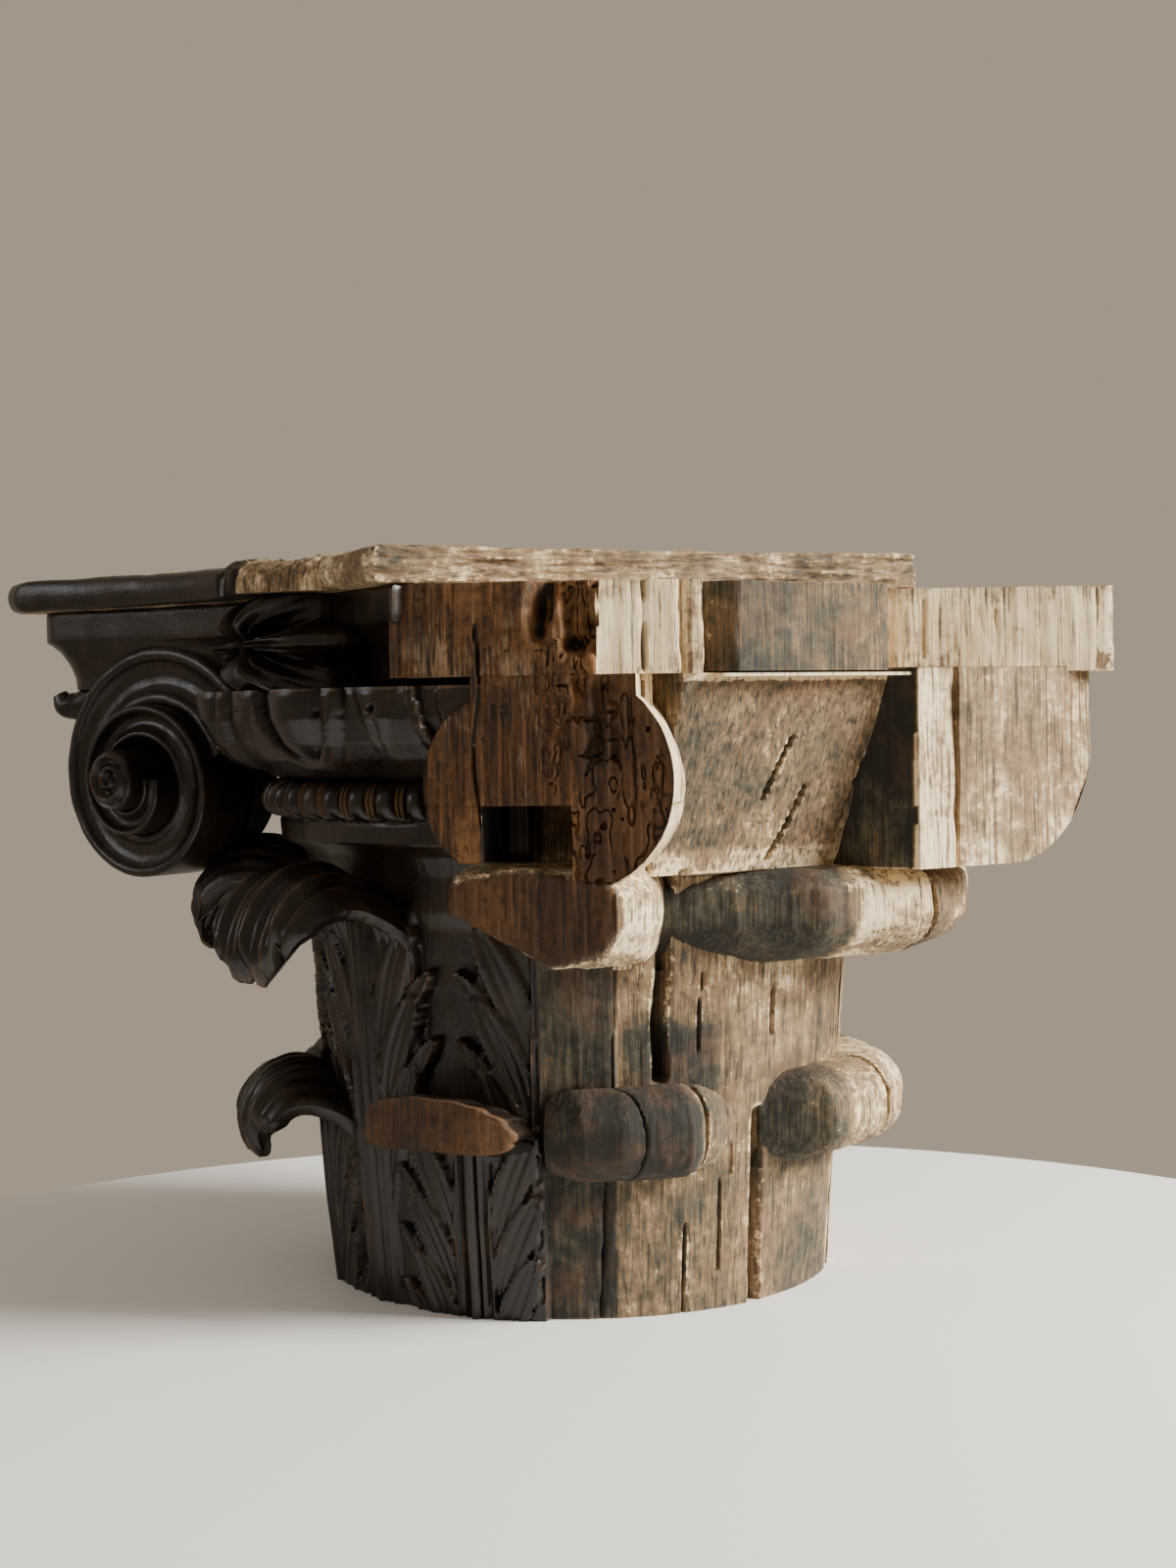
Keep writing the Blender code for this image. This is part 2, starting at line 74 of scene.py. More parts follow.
# Turned profile (height, radius), the same as the solids have.
PROFILE = np.array((
    (0.0, 0.1215), (0.045, 0.1255), (0.100, 0.1290), (0.150, 0.1320), (NECK, 0.1370), (0.2150, 0.1405),
    (0.2190, 0.1480), (0.2205, 0.1510), (0.2300, 0.1515), (0.2315, 0.1500), (0.2500, 0.1500),
    (0.2515, 0.1560),
    (0.2540, 0.1600), (0.2600, 0.1715), (0.2680, 0.1785), (0.2790, 0.1830), (0.2900, 0.1835),
    (0.2935, 0.1825),
    (0.2940, 0.1500), (0.2980, 0.1450),
))
UPPER_LEAVES = (135, 184, 86)
LOWER_LEAVES = (161, 211, 109, 59)
CARVED_END = 226.5          # degrees, where the carving stops at the near corner
UPPER_LEAF = dict(foot=0.085, top=0.1990, reach=0.192, drop=0.034, curl=0.032, half=0.043)
CORNER_LEAF = dict(foot=0.085, top=0.2050, reach=0.192, drop=0.036, curl=0.034, half=0.043)
LOWER_LEAF = dict(foot=0.000, top=0.1010, reach=0.165, drop=0.026, curl=0.024, half=0.041)


# ---- sizes and colours a user would change -------------------------------------------------------
def length_property(name, description, default):
    return FloatProperty(name=name, description=description, default=default, unit="LENGTH")


def colour_property(name, description, default):
    return FloatVectorProperty(name=name, description=description, default=default, subtype="COLOR",
                               min=0.0, max=1.0, size=3)


class CapitalSizes(bpy.types.PropertyGroup):
    leaf_relief: length_property("Leaf relief", "How far a lobe stands off the bell", 0.0080)
    egg_relief: length_property("Egg relief", "How far an egg stands out of the echinus", 0.0100)
    bead_relief: length_property("Bead relief", "How far the beads stand out of their band", 0.0110)
    grain_depth: length_property("Grain depth", "Depth of the weathered grain", 0.00034)
    seam_mouth: length_property("Seam mouth", "Half-width of a glue joint's worn mouth", 0.0010)


class CapitalColours(bpy.types.PropertyGroup):
    wax: colour_property("Wax", "Old wax in the carving", (0.0065, 0.0042, 0.0030))
    wax_worn: colour_property("Worn wax", "Where the wax has worn thin", (0.023, 0.0130, 0.0076))
    bare_edge: colour_property("Bare edge", "Wood rubbed bare on high edges", (0.20, 0.120, 0.062))
    grey: colour_property("Grey wood", "Stained blank", (0.054, 0.050, 0.033))
    brown: colour_property("Brown wood", "Less weathered blank", (0.150, 0.100, 0.054))
    tan: colour_property("Tan wood", "Rubbed blank", (0.300, 0.208, 0.112))
    red: colour_property("Red wood", "Heartwood that shows through", (0.210, 0.098, 0.050))
    # Also the painted shade's colour: the blank's tone ramp ends in it, and the sawn flat's grooves take it.
    soot_and_shade: colour_property("Soot", "Dark stains on the blank", (0.014, 0.013, 0.009))
    # Also painted light: the blank's flakes along high edges and its lit facets take it.
    cream: colour_property("Cream", "Scraped, dusty wood", (0.84, 0.68, 0.43))
    cut: colour_property("Fresh cut", "Sawn flat of the near corner", (0.118, 0.051, 0.0155))
    cut_dark: colour_property("Dark cut", "Dark grain in the sawn flat", (0.022, 0.0095, 0.0038))
    cut_bright: colour_property("Bright cut", "Lighter streaks in the sawn flat", (0.300, 0.140, 0.045))
    floor: colour_property("Floor", "Plain pale floor", (0.87, 0.875, 0.865))


def sizes():
    return bpy.context.scene.capital_sizes


def colours():
    return bpy.context.scene.capital_colours


# ---- number helpers ------------------------------------------------------------------------------
def smoothstep(t):
    """0 below 0, 1 above 1, and 3t^2 - 2t^3 between."""
    t = np.clip(t, 0, 1)
    return t * t * (3 - 2 * t)


def window(x, low, high, soft):
    """1 between low and high, fading to 0 over soft on either side."""
    return smoothstep((x - low) / soft + 1) * smoothstep((high - x) / soft + 1)


def half_round(x):
    """The height of a half circle: 1 at 0, and 0 from 1 on."""
    return np.sqrt(np.clip(1 - x * x, 0, 1))


def bump(x, power=2):
    """e to the minus x to a power: 1 at 0, and near 0 beyond 2."""
    return np.exp(-(x ** power))


def column(low, high, count):
    return np.linspace(low, high, count)[:, None]


def row(low, high, count, endpoint=True):
    return np.linspace(low, high, count, endpoint=endpoint)[None, :]


def xyz(x, y, z):
    """Points from coordinates whose shapes match or stretch to match."""
    return np.stack(np.broadcast_arrays(x, y, z), -1)


def facing(degrees):
    """Two level unit vectors: out towards an azimuth, and across it."""
    a = math.radians(degrees)
    return np.array((math.cos(a), math.sin(a), 0)), np.array((-math.sin(a), math.cos(a), 0))


LATTICE = np.random.default_rng(7).random((48, 48, 48)) * 2 - 1


def noise(points, scale, seed=0):
    """Value noise from -1 to 1: lattice values blended by smoothstep between the eight nearest corners."""
    q = points * np.asarray(scale, float) + np.array((17.3, 41.9, 5.7)) * (seed + 1)
    base = np.floor(q).astype(int)
    f = q - base
    f = f * f * (3 - 2 * f)
    total = np.zeros(points.shape[:-1])
    for corner in range(8):
        bits = np.array((corner & 1, corner >> 1 & 1, corner >> 2 & 1))
        at = (base + bits) % LATTICE.shape[0]
        weight = np.prod(np.where(bits, f, 1 - f), axis=-1)
        total += weight * LATTICE[at[..., 0], at[..., 1], at[..., 2]]
    return total


def rough(points, scale, seed=0, octaves=3):
    """Fractal noise: each octave doubles the scale and halves the height."""
    scale = np.asarray(scale, float)
    return sum(noise(points, scale * 2 ** k, seed + k) / 2 ** k for k in range(octaves))


def unit(v):
    return v / np.maximum(np.linalg.norm(v, axis=-1, keepdims=True), 1e-12)


def grid_normals(loops):
    """Normals of a grid that closes round its second index: the cross product of its two differences."""
    around = np.roll(loops, -1, 1) - np.roll(loops, 1, 1)
    up = np.gradient(loops, axis=0)
    return unit(np.cross(around, up))


def outward(loops):
    """The grid's loops in the order that makes its normals face out: the sign of the enclosed volume."""
    a = loops[:-1]
    b = np.roll(loops, -1, 1)[:-1]
    c = loops[1:]
    centre = loops.reshape(-1, 3).mean(0)
    volume = np.einsum("ijk,ijk->", np.cross(a - centre, b - centre), c - centre)
    return loops if volume > 0 else loops[:, ::-1]


def softened(values, passes):
    """Each grid value replaced by the mean of its four neighbours and itself, several times."""
    for _ in range(passes):
        padded = np.concatenate([values[:1], values, values[-1:]])
        values = (values * 2 + padded[:-2] + padded[2:] + np.roll(values, 1, 1) + np.roll(values, -1, 1)) / 6
    return values


def out_normals(loops):
    """The grid's normals, turned to face out of the solid."""
    return grid_normals(loops) * (1 if outward(loops) is loops else -1)


def standout(loops, passes=3):
    """How far each point stands out of its softened surroundings, in millimetres: edges up, grooves down."""
    return np.einsum("ijk,ijk->ij", loops - softened(loops, passes), out_normals(loops)) / MM


def through_mirror(points):
    """Image in the upright plane through the carved corner: x and y swap and change sign."""
    return np.stack([-points[..., 1], -points[..., 0], points[..., 2]], -1)


def resample(points, count, closed=True, rounding=0):
    """count points evenly along a polyline, its corners eased by neighbour averages."""
    p = np.asarray(points, float)
    if closed:
        p = np.concatenate([p, p[:1]])
    along = np.concatenate([[0], np.cumsum(np.linalg.norm(np.diff(p, axis=0), axis=1))])
    at = np.linspace(0, along[-1], count, endpoint=not closed)
    q = np.stack([np.interp(at, along, p[:, k]) for k in range(p.shape[1])], 1)
    for _ in range(rounding):
        inner = (np.roll(q, 1, 0) + np.roll(q, -1, 0) + 2 * q) / 4
        if not closed:
            inner[0], inner[-1] = q[0], q[-1]
        q = inner
    return q


def parted(points, low, high):
    """Points beyond either joint plane brought onto it and slid inwards along it."""
    over = np.maximum(points[..., 0] - high, 0) + np.maximum(low - points[..., 0], 0)
    inward = np.clip(1 - 31 * over, 0.55, 1)
    x = np.clip(points[..., 0], low, high)
    return np.stack([x, points[..., 1] * inward, points[..., 2]], -1)


def clip_saws(points):
    """Pulls points towards the axis until they lie inside both sawn flats."""
    across = np.abs(points[..., 0] + points[..., 1]) / ROOT2
    pull = np.minimum(1, SAW / np.maximum(across, 1e-9))
    return points * xyz(pull, pull, 1)


def on_saw(points, within=0.0006):
    """1 on the near sawn flat or the far one."""
    return (np.abs(points[..., 0] + points[..., 1]) / ROOT2 > SAW - within).astype(float)


# ---- mesh ----------------------------------------------------------------------------------------
def solid(name, loops, node, slot="waxed_carving", finish=None, raw=0.0, cut=0.0, dust=0.0, sharp=45,
          wear=None, mirror=False):
    """A closed mesh from a grid of loops: quads between neighbouring loops and one flat cap on each end."""
    if mirror:
        loops = through_mirror(loops)
    shape = loops.shape[:2]
    layers = {"raw": raw, "cut": cut, "dust": dust}
    layers["wear"] = standout(loops) if wear is None else wear
    layers = {k: np.broadcast_to(np.asarray(v, float), shape).copy() for k, v in layers.items()}
    layers["wear"][[0, -1]] = 0
    layers["dust"][[0, -1]] = layers["dust"][[0, -1]].mean(1, keepdims=True)
    turned = outward(loops)
    if turned is not loops:
        layers = {k: v[:, ::-1] for k, v in layers.items()}
    rows, count = shape
    index = np.arange(rows * count).reshape(shape)
    right = np.roll(index, -1, 1)
    quads = np.stack([index[:-1], right[:-1], right[1:], index[1:]], -1).reshape(-1)
    corners = np.concatenate([quads, index[0][::-1], index[-1]])
    totals = np.concatenate([np.full((rows - 1) * count, 4), [count, count]])
    mesh = bpy.data.meshes.new(name)
    mesh.vertices.add(rows * count)
    mesh.vertices.foreach_set("co", np.ascontiguousarray(turned, np.float32).reshape(-1))
    mesh.loops.add(len(corners))
    mesh.loops.foreach_set("vertex_index", corners.astype(np.int32))
    mesh.polygons.add(len(totals))
    mesh.polygons.foreach_set("loop_start", np.concatenate([[0], np.cumsum(totals)[:-1]]).astype(np.int32))
    for key, values in layers.items():
        layer = mesh.attributes.new(key, "FLOAT", "POINT")
        layer.data.foreach_set("value", np.ascontiguousarray(values, np.float32).reshape(-1))
    mesh.update(calc_edges=True)
    mesh.validate()
    mesh.shade_smooth()
    mesh.set_sharp_from_angle(angle=math.radians(sharp))
    mesh.materials.append(material(finish or slot))
    piece = bpy.data.objects.new(name, mesh)
    bpy.context.scene.collection.objects.link(piece)
    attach(piece, "root")
    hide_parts(node)


# ---- shader helpers ------------------------------------------------------------------------------
class Socket:
    """A value in a node tree that can be written as an expression."""

    def __init__(self, tree, link):
        self.tree = tree
        self.link = link

    def _math(self, operation, *values):
        return self.tree.node("ShaderNodeMath", {"operation": operation}, values)

    def __add__(self, other):
        return self._math("ADD", self, other)

    def __sub__(self, other):
        return self._math("SUBTRACT", self, other)

    def __mul__(self, other):
        return self._math("MULTIPLY", self, other)

    def __rsub__(self, other):
        return self._math("SUBTRACT", other, self)

    def clamp(self, low=0.0, high=1.0):
        """Linear reading that is 0 at low and 1 at high."""
        return self.tree.node("ShaderNodeMapRange", {"clamp": True}, (self, low, high, 0.0, 1.0))

    __radd__ = __add__
    __rmul__ = __mul__


class Tree:
    """A material's nodes, added by type, settings and inputs."""

    def __init__(self, name):
        self.material = bpy.data.materials.new(name)
        self.material.use_nodes = True
        self.nodes = self.material.node_tree.nodes
        self.links = self.material.node_tree.links
        self.shader = self.nodes["Principled BSDF"]

    def feed(self, socket, value):
        if isinstance(value, Socket):
            self.links.new(value.link, socket)
        elif value is not None:
            socket.default_value = value

    def node(self, kind, settings=None, inputs=(), output=0):
        made = self.nodes.new(kind)
        for key, value in (settings or {}).items():
            if key == "stops":
                while len(made.color_ramp.elements) < len(value):
                    made.color_ramp.elements.new(0.5)
                for element, (place, shade) in zip(made.color_ramp.elements, value):
                    element.position = place
                    element.color = (*shade, 1) if len(shade) == 3 else shade
            else:
                setattr(made, key, value)
        items = inputs.items() if isinstance(inputs, dict) else enumerate(inputs)
        for key, value in items:
            self.feed(made.inputs[key], value)
        return Socket(self, made.outputs[output])

    def place(self, scale=(1, 1, 1), turn=(0, 0, 0)):
        """Object coordinates, scaled and turned."""
        at = self.node("ShaderNodeTexCoord", output="Object")
        return self.node("ShaderNodeMapping", None, {"Vector": at, "Scale": scale, "Rotation": turn})

    def noise(self, vector, scale, detail=4.0, roughness=0.6, distortion=0.0):
        inputs = {"Vector": vector, "Scale": scale, "Detail": detail, "Roughness": roughness,
                  "Distortion": distortion}
        return self.node("ShaderNodeTexNoise", None, inputs)

    def mix(self, factor, a, b, blend="MIX"):
        """Colours a and b mixed by a factor."""
        made = self.nodes.new("ShaderNodeMix")
        made.data_type = "RGBA"
        made.blend_type = blend
        self.feed(made.inputs["Factor"], factor)
        for key, value in ((6, a), (7, b)):
            self.feed(made.inputs[key], value if isinstance(value, Socket) else (*value, 1))
        return Socket(self, made.outputs[2])

    def layer(self, name):
        return self.node("ShaderNodeAttribute", {"attribute_name": name}, output="Fac")


def wood(name, along=(1, 1, 0.045), cream_bias=0.0, gloss=0.30):
    """Old wood: waxed carving, weathered blank and fresh saw cut, mixed by the mesh's layers."""
    c = colours()
    t = Tree(name)
    grain_space = t.place(along)
    space = t.place()
    grain = t.noise(grain_space, 620, 5, 0.65)
    fine = t.noise(grain_space, 1900, 3, 0.6)
    patch = t.noise(t.place((1, 1, 0.6)), 15, 6, 0.66, 0.3)
    blotch = t.noise(space, 42, 4, 0.6, 0.8)
    speck = t.noise(space, 260, 3, 0.7)
    raw, cut, dust, wear = (t.layer(key) for key in ("raw", "cut", "dust", "wear"))

    waxed = t.mix(blotch.clamp(0.38, 0.72), c.wax, c.wax_worn)
    rubbed = (wear + blotch * 1.3 + grain * 0.8 - 1.45).clamp(0, 1.2)
    waxed = t.mix(rubbed * 0.75, waxed, c.bare_edge)

    # The blank's tone climbs from soot to cream with the mesh's dust layer, which holds real dust and also
    # painted light and shade.
    tone = dust * 0.40 + patch * 1.05 + blotch + grain + speck * 0.60 + cream_bias - 1.32
    stops = ((0.0, c.soot_and_shade), (0.26, c.grey), (0.50, c.brown), (0.74, c.tan), (1.0, c.cream))
    blank = t.node("ShaderNodeValToRGB", {"stops": stops}, (tone,))
    ruddy = (t.noise(space, 30, 5, 0.7) + wear * 0.1 - 0.52).clamp(0, 0.12)
    blank = t.mix(ruddy * 0.22, blank, c.red)
    # Cream flakes, thicker on high edges: pale rubbed wood, and there also a painted highlight along the
    # edges.
    flakes = (speck + blotch * 0.6 + wear * 0.45 + dust * 0.14 - 0.99).clamp(0, 0.13)
    blank = t.mix(flakes * 0.70, blank, c.cream)
    cracks = (grain * -1 + 0.45).clamp(0, 0.08)
    blank = t.mix(cracks * 0.6, blank, c.soot_and_shade)

    sawn = t.mix(grain.clamp(0.40, 0.62), c.cut_dark, c.cut)
    sawn = t.mix((patch + speck * 0.3 - 0.60).clamp(0, 0.18) * 0.75, sawn, c.cut_bright)
    sawn = t.mix((fine * 0.6 + blotch * 0.9 + dust * 0.22 - 1.02).clamp(0, 0.3) * 0.4, sawn, c.cream)
    sawn = t.mix((dust * -1 + 0.5).clamp(0.0, 0.5) * 0.6, sawn, c.cut_dark)
    # Painted shade: the sawn flat goes soot-dark in its grooves and worm tracks, where the surface lies below
    # its surroundings.
    sawn = t.mix((wear * -1.6).clamp(0.0, 0.5) * 0.9, sawn, c.soot_and_shade)

    base = t.mix(raw, waxed, blank)
    base = t.mix(cut, base, sawn)
    # Painted shade: every finish is darkened towards near-black in hollows and grooves, where the surface
    # lies below its surroundings.
    base = t.mix((wear * -1.3).clamp(0.1, 0.9) * 0.75, base, (0.006, 0.004, 0.003))
    t.links.new(base.link, t.shader.inputs["Base Color"])

    bare = (raw + cut).clamp(0, 1)
    waxed_gloss = blotch * 0.30 + gloss * 0.55 + rubbed * 0.15
    roughness = waxed_gloss * (1 - bare) + bare * (grain * 0.15 + 0.74)
    t.links.new(roughness.link, t.shader.inputs["Roughness"])
    height = grain * (0.35 + bare * 0.65) + fine * 0.35 * bare + speck * 0.25 + blotch * 0.4
    raised = t.node("ShaderNodeBump", None, {"Strength": 0.75, "Distance": 0.0007, "Height": height})
    t.links.new(raised.link, t.shader.inputs["Normal"])
    t.shader.inputs["Specular IOR Level"].default_value = 0.42
    return t.material


MATERIALS = {}


def material(key):
    """The finishes, each made once and shared."""
    settings = {
        "waxed_carving": dict(),
        "weathered_blank": dict(),
        "tan_blank": dict(cream_bias=0.06),
        "pale_blank": dict(cream_bias=0.12),
        "sawn_board": dict(along=(0.06, 1, 1)),
    }
    if key not in MATERIALS:
        MATERIALS[key] = wood(key, **settings[key])
    return MATERIALS[key]


# ---- carving -------------------------------------------------------------------------------------
LEAFLETS = (
    # foot across, foot up, tip across, tip up, half-width, height
    # across counts from the midrib, up from the leaf's foot
    (0.24, -0.48, 0.74, 0.34, 0.235, 1.00),
    (0.22, -0.16, 0.80, 0.68, 0.240, 0.93),
    (0.20, 0.14, 0.76, 1.02, 0.240, 0.86),
    (0.60, -0.22, 1.02, 0.17, 0.135, 0.84),
    (0.64, 0.10, 1.03, 0.47, 0.140, 0.80),
    (0.62, 0.44, 1.02, 0.80, 0.140, 0.76),
)


def leaflet(s, t, foot, low, tip, top, half, height):
    """One spoon-shaped leaflet: it climbs nearly straight and then leans out, is widest at three quarters of
    its way, has a hollow face with raised rims and fine flutes, and ends round. It is 0 outside its edge."""
    a = (t - low) / (top - low)
    inside = (a > 0) & (a < 1)
    a = np.clip(a, 0, 1)
    line = foot + (tip - foot) * a ** 1.7
    round_end = half_round(np.clip((a - 0.62) / 0.38, 0, 1) ** 1.2)
    wide = half * (0.30 + 0.70 * smoothstep(a / 0.75)) * round_end
    b = (s - line) / np.maximum(wide, 1e-4)
    face = 0.70 + 0.30 * b * b + 0.085 * np.cos(4.0 * np.pi * b)
    face = face * smoothstep((1 - np.abs(b)) / 0.16) * (0.62 + 0.38 * smoothstep(a / 0.8))
    return np.where(inside & (np.abs(b) < 1), face * height, 0)


def acanthus(s, t):
    """Relief of an acanthus leaf, about 0 to 1.2: the highest of its leaflets, stem tubes and ground."""
    side = np.abs(s)
    height = 0.30 * smoothstep((0.84 - side) / 0.05)
    for foot, low, tip, top, half, share in LEAFLETS:
        height = np.maximum(height, leaflet(side, t, foot, low, tip, top, half, share))
    tubes = (0.70 + 0.16 * np.cos(2 * np.pi * side / 0.115)) * smoothstep((0.30 - 0.07 * t - side) / 0.05)
    height = np.maximum(height, tubes)
    stem = 1.12 * half_round(side / 0.085) - 0.35 * bump((side - 0.10) / 0.016)
    return np.maximum(height, stem)


def leaf_relief(degrees, height):
    """The highest relief of all the leaves that lie on the bell at these places, in metres."""
    total = np.zeros(degrees.shape)
    scale = sizes().leaf_relief
    radius = 0.130
    groups = [(a, UPPER_LEAF, 0.80) for a in UPPER_LEAVES] + [(229, UPPER_LEAF, 0.80), (41, UPPER_LEAF, 0.80)]
    groups += [(a, LOWER_LEAF, 1.0) for a in LOWER_LEAVES]
    for middle, size, share in groups:
        shoulder = size["top"] - size["curl"] * 0.55
        s = (degrees - middle) * math.pi / 180 * radius / size["half"]
        t = (height - size["foot"]) / (shoulder - size["foot"])
        band = smoothstep((1.12 - t) / 0.10)
        near = np.abs(s) < 1.15
        total = np.maximum(total, np.where(near, acanthus(s, t) * share * scale * band, 0))
    total = total - 0.0022 * (total < 0.0004) * smoothstep((0.19 - height) / 0.01)
    return total


def egg_relief(degrees, height):
    """Eggs in shells with a leafy dart between: a round bump inside the egg's oval, a groove around it, the
    shell's rim around that, and a split dart with a nail hole in the gap between two shells."""
    pitch = 30.0
    off = (degrees - 190.5 + pitch / 2) % pitch - pitch / 2
    s = off * math.pi / 180 * 0.182
    drop = (0.2950 - height) / 0.0375
    d = np.sqrt((s / 0.0160) ** 2 + drop ** 2)
    egg = sizes().egg_relief * half_round(d)
    shell = np.sqrt((s / 0.0275) ** 2 + (drop * 0.95) ** 2)
    rim = 0.0062 * half_round((shell - 1.0) / 0.115) - 0.0012 * bump((shell - 1.03) / 0.025)
    channel = -0.0052 * ((d > 1) & (shell < 0.9)) * smoothstep((d - 1) / 0.12)
    dart_s = (pitch / 2 - np.abs(off)) * math.pi / 180 * 0.182
    dart_half = 0.0010 + 0.0125 * np.clip(1 - drop, 0, 1)
    dart = 0.0050 * half_round(dart_s / dart_half)
    dart = dart - 0.0030 * bump(dart_s / 0.0016) * smoothstep((drop - 0.38) / 0.1)
    hole = -0.0060 * bump(np.hypot(dart_s, height - 0.2835) / 0.0015, 4)
    ground = -0.0022 * smoothstep((shell - 1.05) / 0.1)
    inside = window(height, 0.2555, 0.2936, 0.0010)
    outer = np.maximum(rim, dart + ground) + hole
    return np.where(shell < 0.9, np.maximum(egg, channel), outer) * inside


def bead_relief(degrees, height):
    """A long bead and two thin reels in each unit: half-round across the band, cut along it."""
    pitch = 6.4
    off = (degrees % pitch) / pitch
    across = half_round((height - 0.2405) / 0.0100)
    bead = half_round((off - 0.33) / 0.335) ** 0.7
    reels = 0.80 * (bump((off - 0.755) / 0.055, 4) + bump((off - 0.90) / 0.055, 4))
    return sizes().bead_relief * across * np.maximum(0.25, np.maximum(bead, reels))


def crack(points, x0, low, high, half_width, depth, slant=0.0, seed=3):
    """A check along the grain: a narrow dip around an upright, slightly wandering line."""
    z = points[..., 2]
    wander = 0.0016 * noise(xyz(0, 0, z), 45, seed)
    line = x0 + slant * (z - low) + wander
    width = half_width * np.clip(window(z, low, high, 0.012), 0.15, 1)
    return depth * bump((points[..., 0] - line) / width, 4) * window(z, low, high, 0.004)


FRONT_CHECKS = (
    # x at the bottom, bottom, top, half-width, depth, slant
    (0.0090, -0.010, 0.090, 0.0028, 0.014, 0.0),
    (-0.0440, 0.1120, 0.2060, 0.0028, 0.014, 0.0),
    (0.0180, 0.128, 0.165, 0.0010, 0.006, 0.0),
    (-0.0060, 0.241, 0.266, 0.0011, 0.005, 0.38),
    (0.0030, 0.212, 0.243, 0.0012, 0.006, 0.45),
    (0.0420, 0.225, 0.262, 0.0010, 0.004, 0.30),
    (-0.0250, 0.120, 0.158, 0.0005, 0.003, 0.0),
    (-0.0300, 0.000, 0.040, 0.0006, 0.003, 0.0),
    (-0.0120, 0.020, 0.060, 0.0005, 0.003, 0.0),
)


def carved_share(degrees):
    """1 on the carved half, 0 on the blocked-out half, with a hard line between."""
    off = np.abs((degrees - 135 + 180) % 360 - 180)
    return smoothstep((CARVED_END - 135 - off) / 0.6 + 0.5)


def blank_radius(degrees, height):
    """The blocked-out half above the neck is a square that widens upwards: its half-width over a cosine."""
    height = np.minimum(height, ABACUS_BOTTOM)
    rise = np.clip((height - NECK) / (ABACUS_BOTTOM - NECK), 0, 1)
    half = 0.1435 + 0.0290 * rise
    off = (degrees + 45) % 90 - 45  # from the nearest side's middle
    return np.minimum(half / np.cos(np.radians(off)), half * 1.16)


def core_points(degrees, height):
    """The bell, band, beads and echinus with all their carving, and what is carved, as arrays."""
    base = np.interp(height, PROFILE[:, 0], PROFILE[:, 1])
    share = carved_share(degrees)
    carved = base + leaf_relief(degrees, height) * smoothstep((0.205 - height) / 0.01)
    carved = carved + egg_relief(degrees, height)
    carved = carved + bead_relief(degrees, height) * window(height, 0.2318, 0.2496, 0.0006)
    plain = np.where(height > NECK, blank_radius(degrees, height), base)
    step_panel = 0.0030 * window(degrees, 226, 241, 0.8) * smoothstep((height - 0.10) / 0.01)
    plain = plain + step_panel * (height <= NECK)
    radius = carved * share + plain * (1 - share)
    radius = np.where(height > ABACUS_BOTTOM + 0.0002, 0.1450, radius)
    for turn in (degrees, 270 - degrees):
        off = np.radians((turn - 225 + 180) % 360 - 180)
        across = radius * np.sin(off)
        limit = 0.1832 - 0.0400 * window(across, -0.008, 0.030, 0.003) * smoothstep((0.2420 - height) / 0.002)
        limit = limit - 0.0120 * smoothstep((across - 0.002) / 0.004)
        held = limit / np.maximum(np.cos(off), 0.3)
        radius = np.where((np.abs(off) < 0.6) & (height > NECK - 0.001), np.minimum(radius, held), radius)
    a = np.radians(degrees)
    points = xyz(radius * np.cos(a), radius * np.sin(a), height)
    lumps = rough(points, (38, 38, 22), 5) * 0.0007
    grain = rough(points, (520, 520, 26), 9) * sizes().grain_depth
    wobble = lumps + grain * np.where(share > 0.5, 0.35, 1.0)
    front = (points[..., 1] < 0) & (share < 0.5)
    for x0, low, high, half_width, depth, slant in FRONT_CHECKS:
        wobble = wobble - np.where(front, crack(points, x0, low, high, half_width, depth, slant), 0)
    for seam in (-0.0645, 0.0850):
        worn = bump((points[..., 0] - seam) / sizes().seam_mouth)
        wobble = wobble - worn * (0.0012 + 0.0010 * noise(points, 90, 4))
    radius = radius + np.where(height > ABACUS_BOTTOM, 0, wobble)
    points = xyz(radius * np.cos(a), radius * np.sin(a), height)
    return points, share


def core_rows(spacing):
    """Heights from the foot into the abacus, closer together over the mouldings."""
    plain = np.arange(0.0, 0.2180, spacing)
    fine = np.arange(0.2185, 0.2945, spacing * 0.72)
    return np.concatenate([plain, fine, [0.2964, 0.2980]])


def core_block(name, spans, low_x, high_x, spacing, slot):
    """The part of the core between two upright planes: arcs of every row, cut off flat at the planes."""
    rows = core_rows(spacing)
    angles = np.concatenate([np.arange(first, last, step) for first, last, step in spans])
    degrees, height = np.meshgrid(angles, rows)
    points, share = core_points(degrees, height)
    wear = standout(points, 2)
    points = parted(points, low_x, high_x)
    seam = (points[..., 0] <= low_x + 1e-6) | (points[..., 0] >= high_x - 1e-6)
    bell = height < NECK
    foot = smoothstep((0.115 - height) / 0.05)
    # Painted shadow: the bell is darkened between 220 and 240.6 degrees.
    shadow = 1.3 * window(degrees, 220, 240.6, 1.0) * bell
    stain = 0.9 * window(height, 0.108, 0.130, 0.012) * window(degrees, 244, 262, 3.0)
    dust = 0.10 + 0.15 * smoothstep((height - 0.10) / 0.04) * bell - shadow
    dust = dust + (0.05 - 0.35 * (degrees > 274.5)) * foot - stain
    dust = dust - 0.02 * (height > NECK) + 0.8 * window(height, 0.206, 0.214, 0.006)
    solid("core_" + name, points, name, slot, raw=np.where(seam, 1, 1 - share), dust=dust,
          wear=np.where(seam, 0, wear), sharp=60)


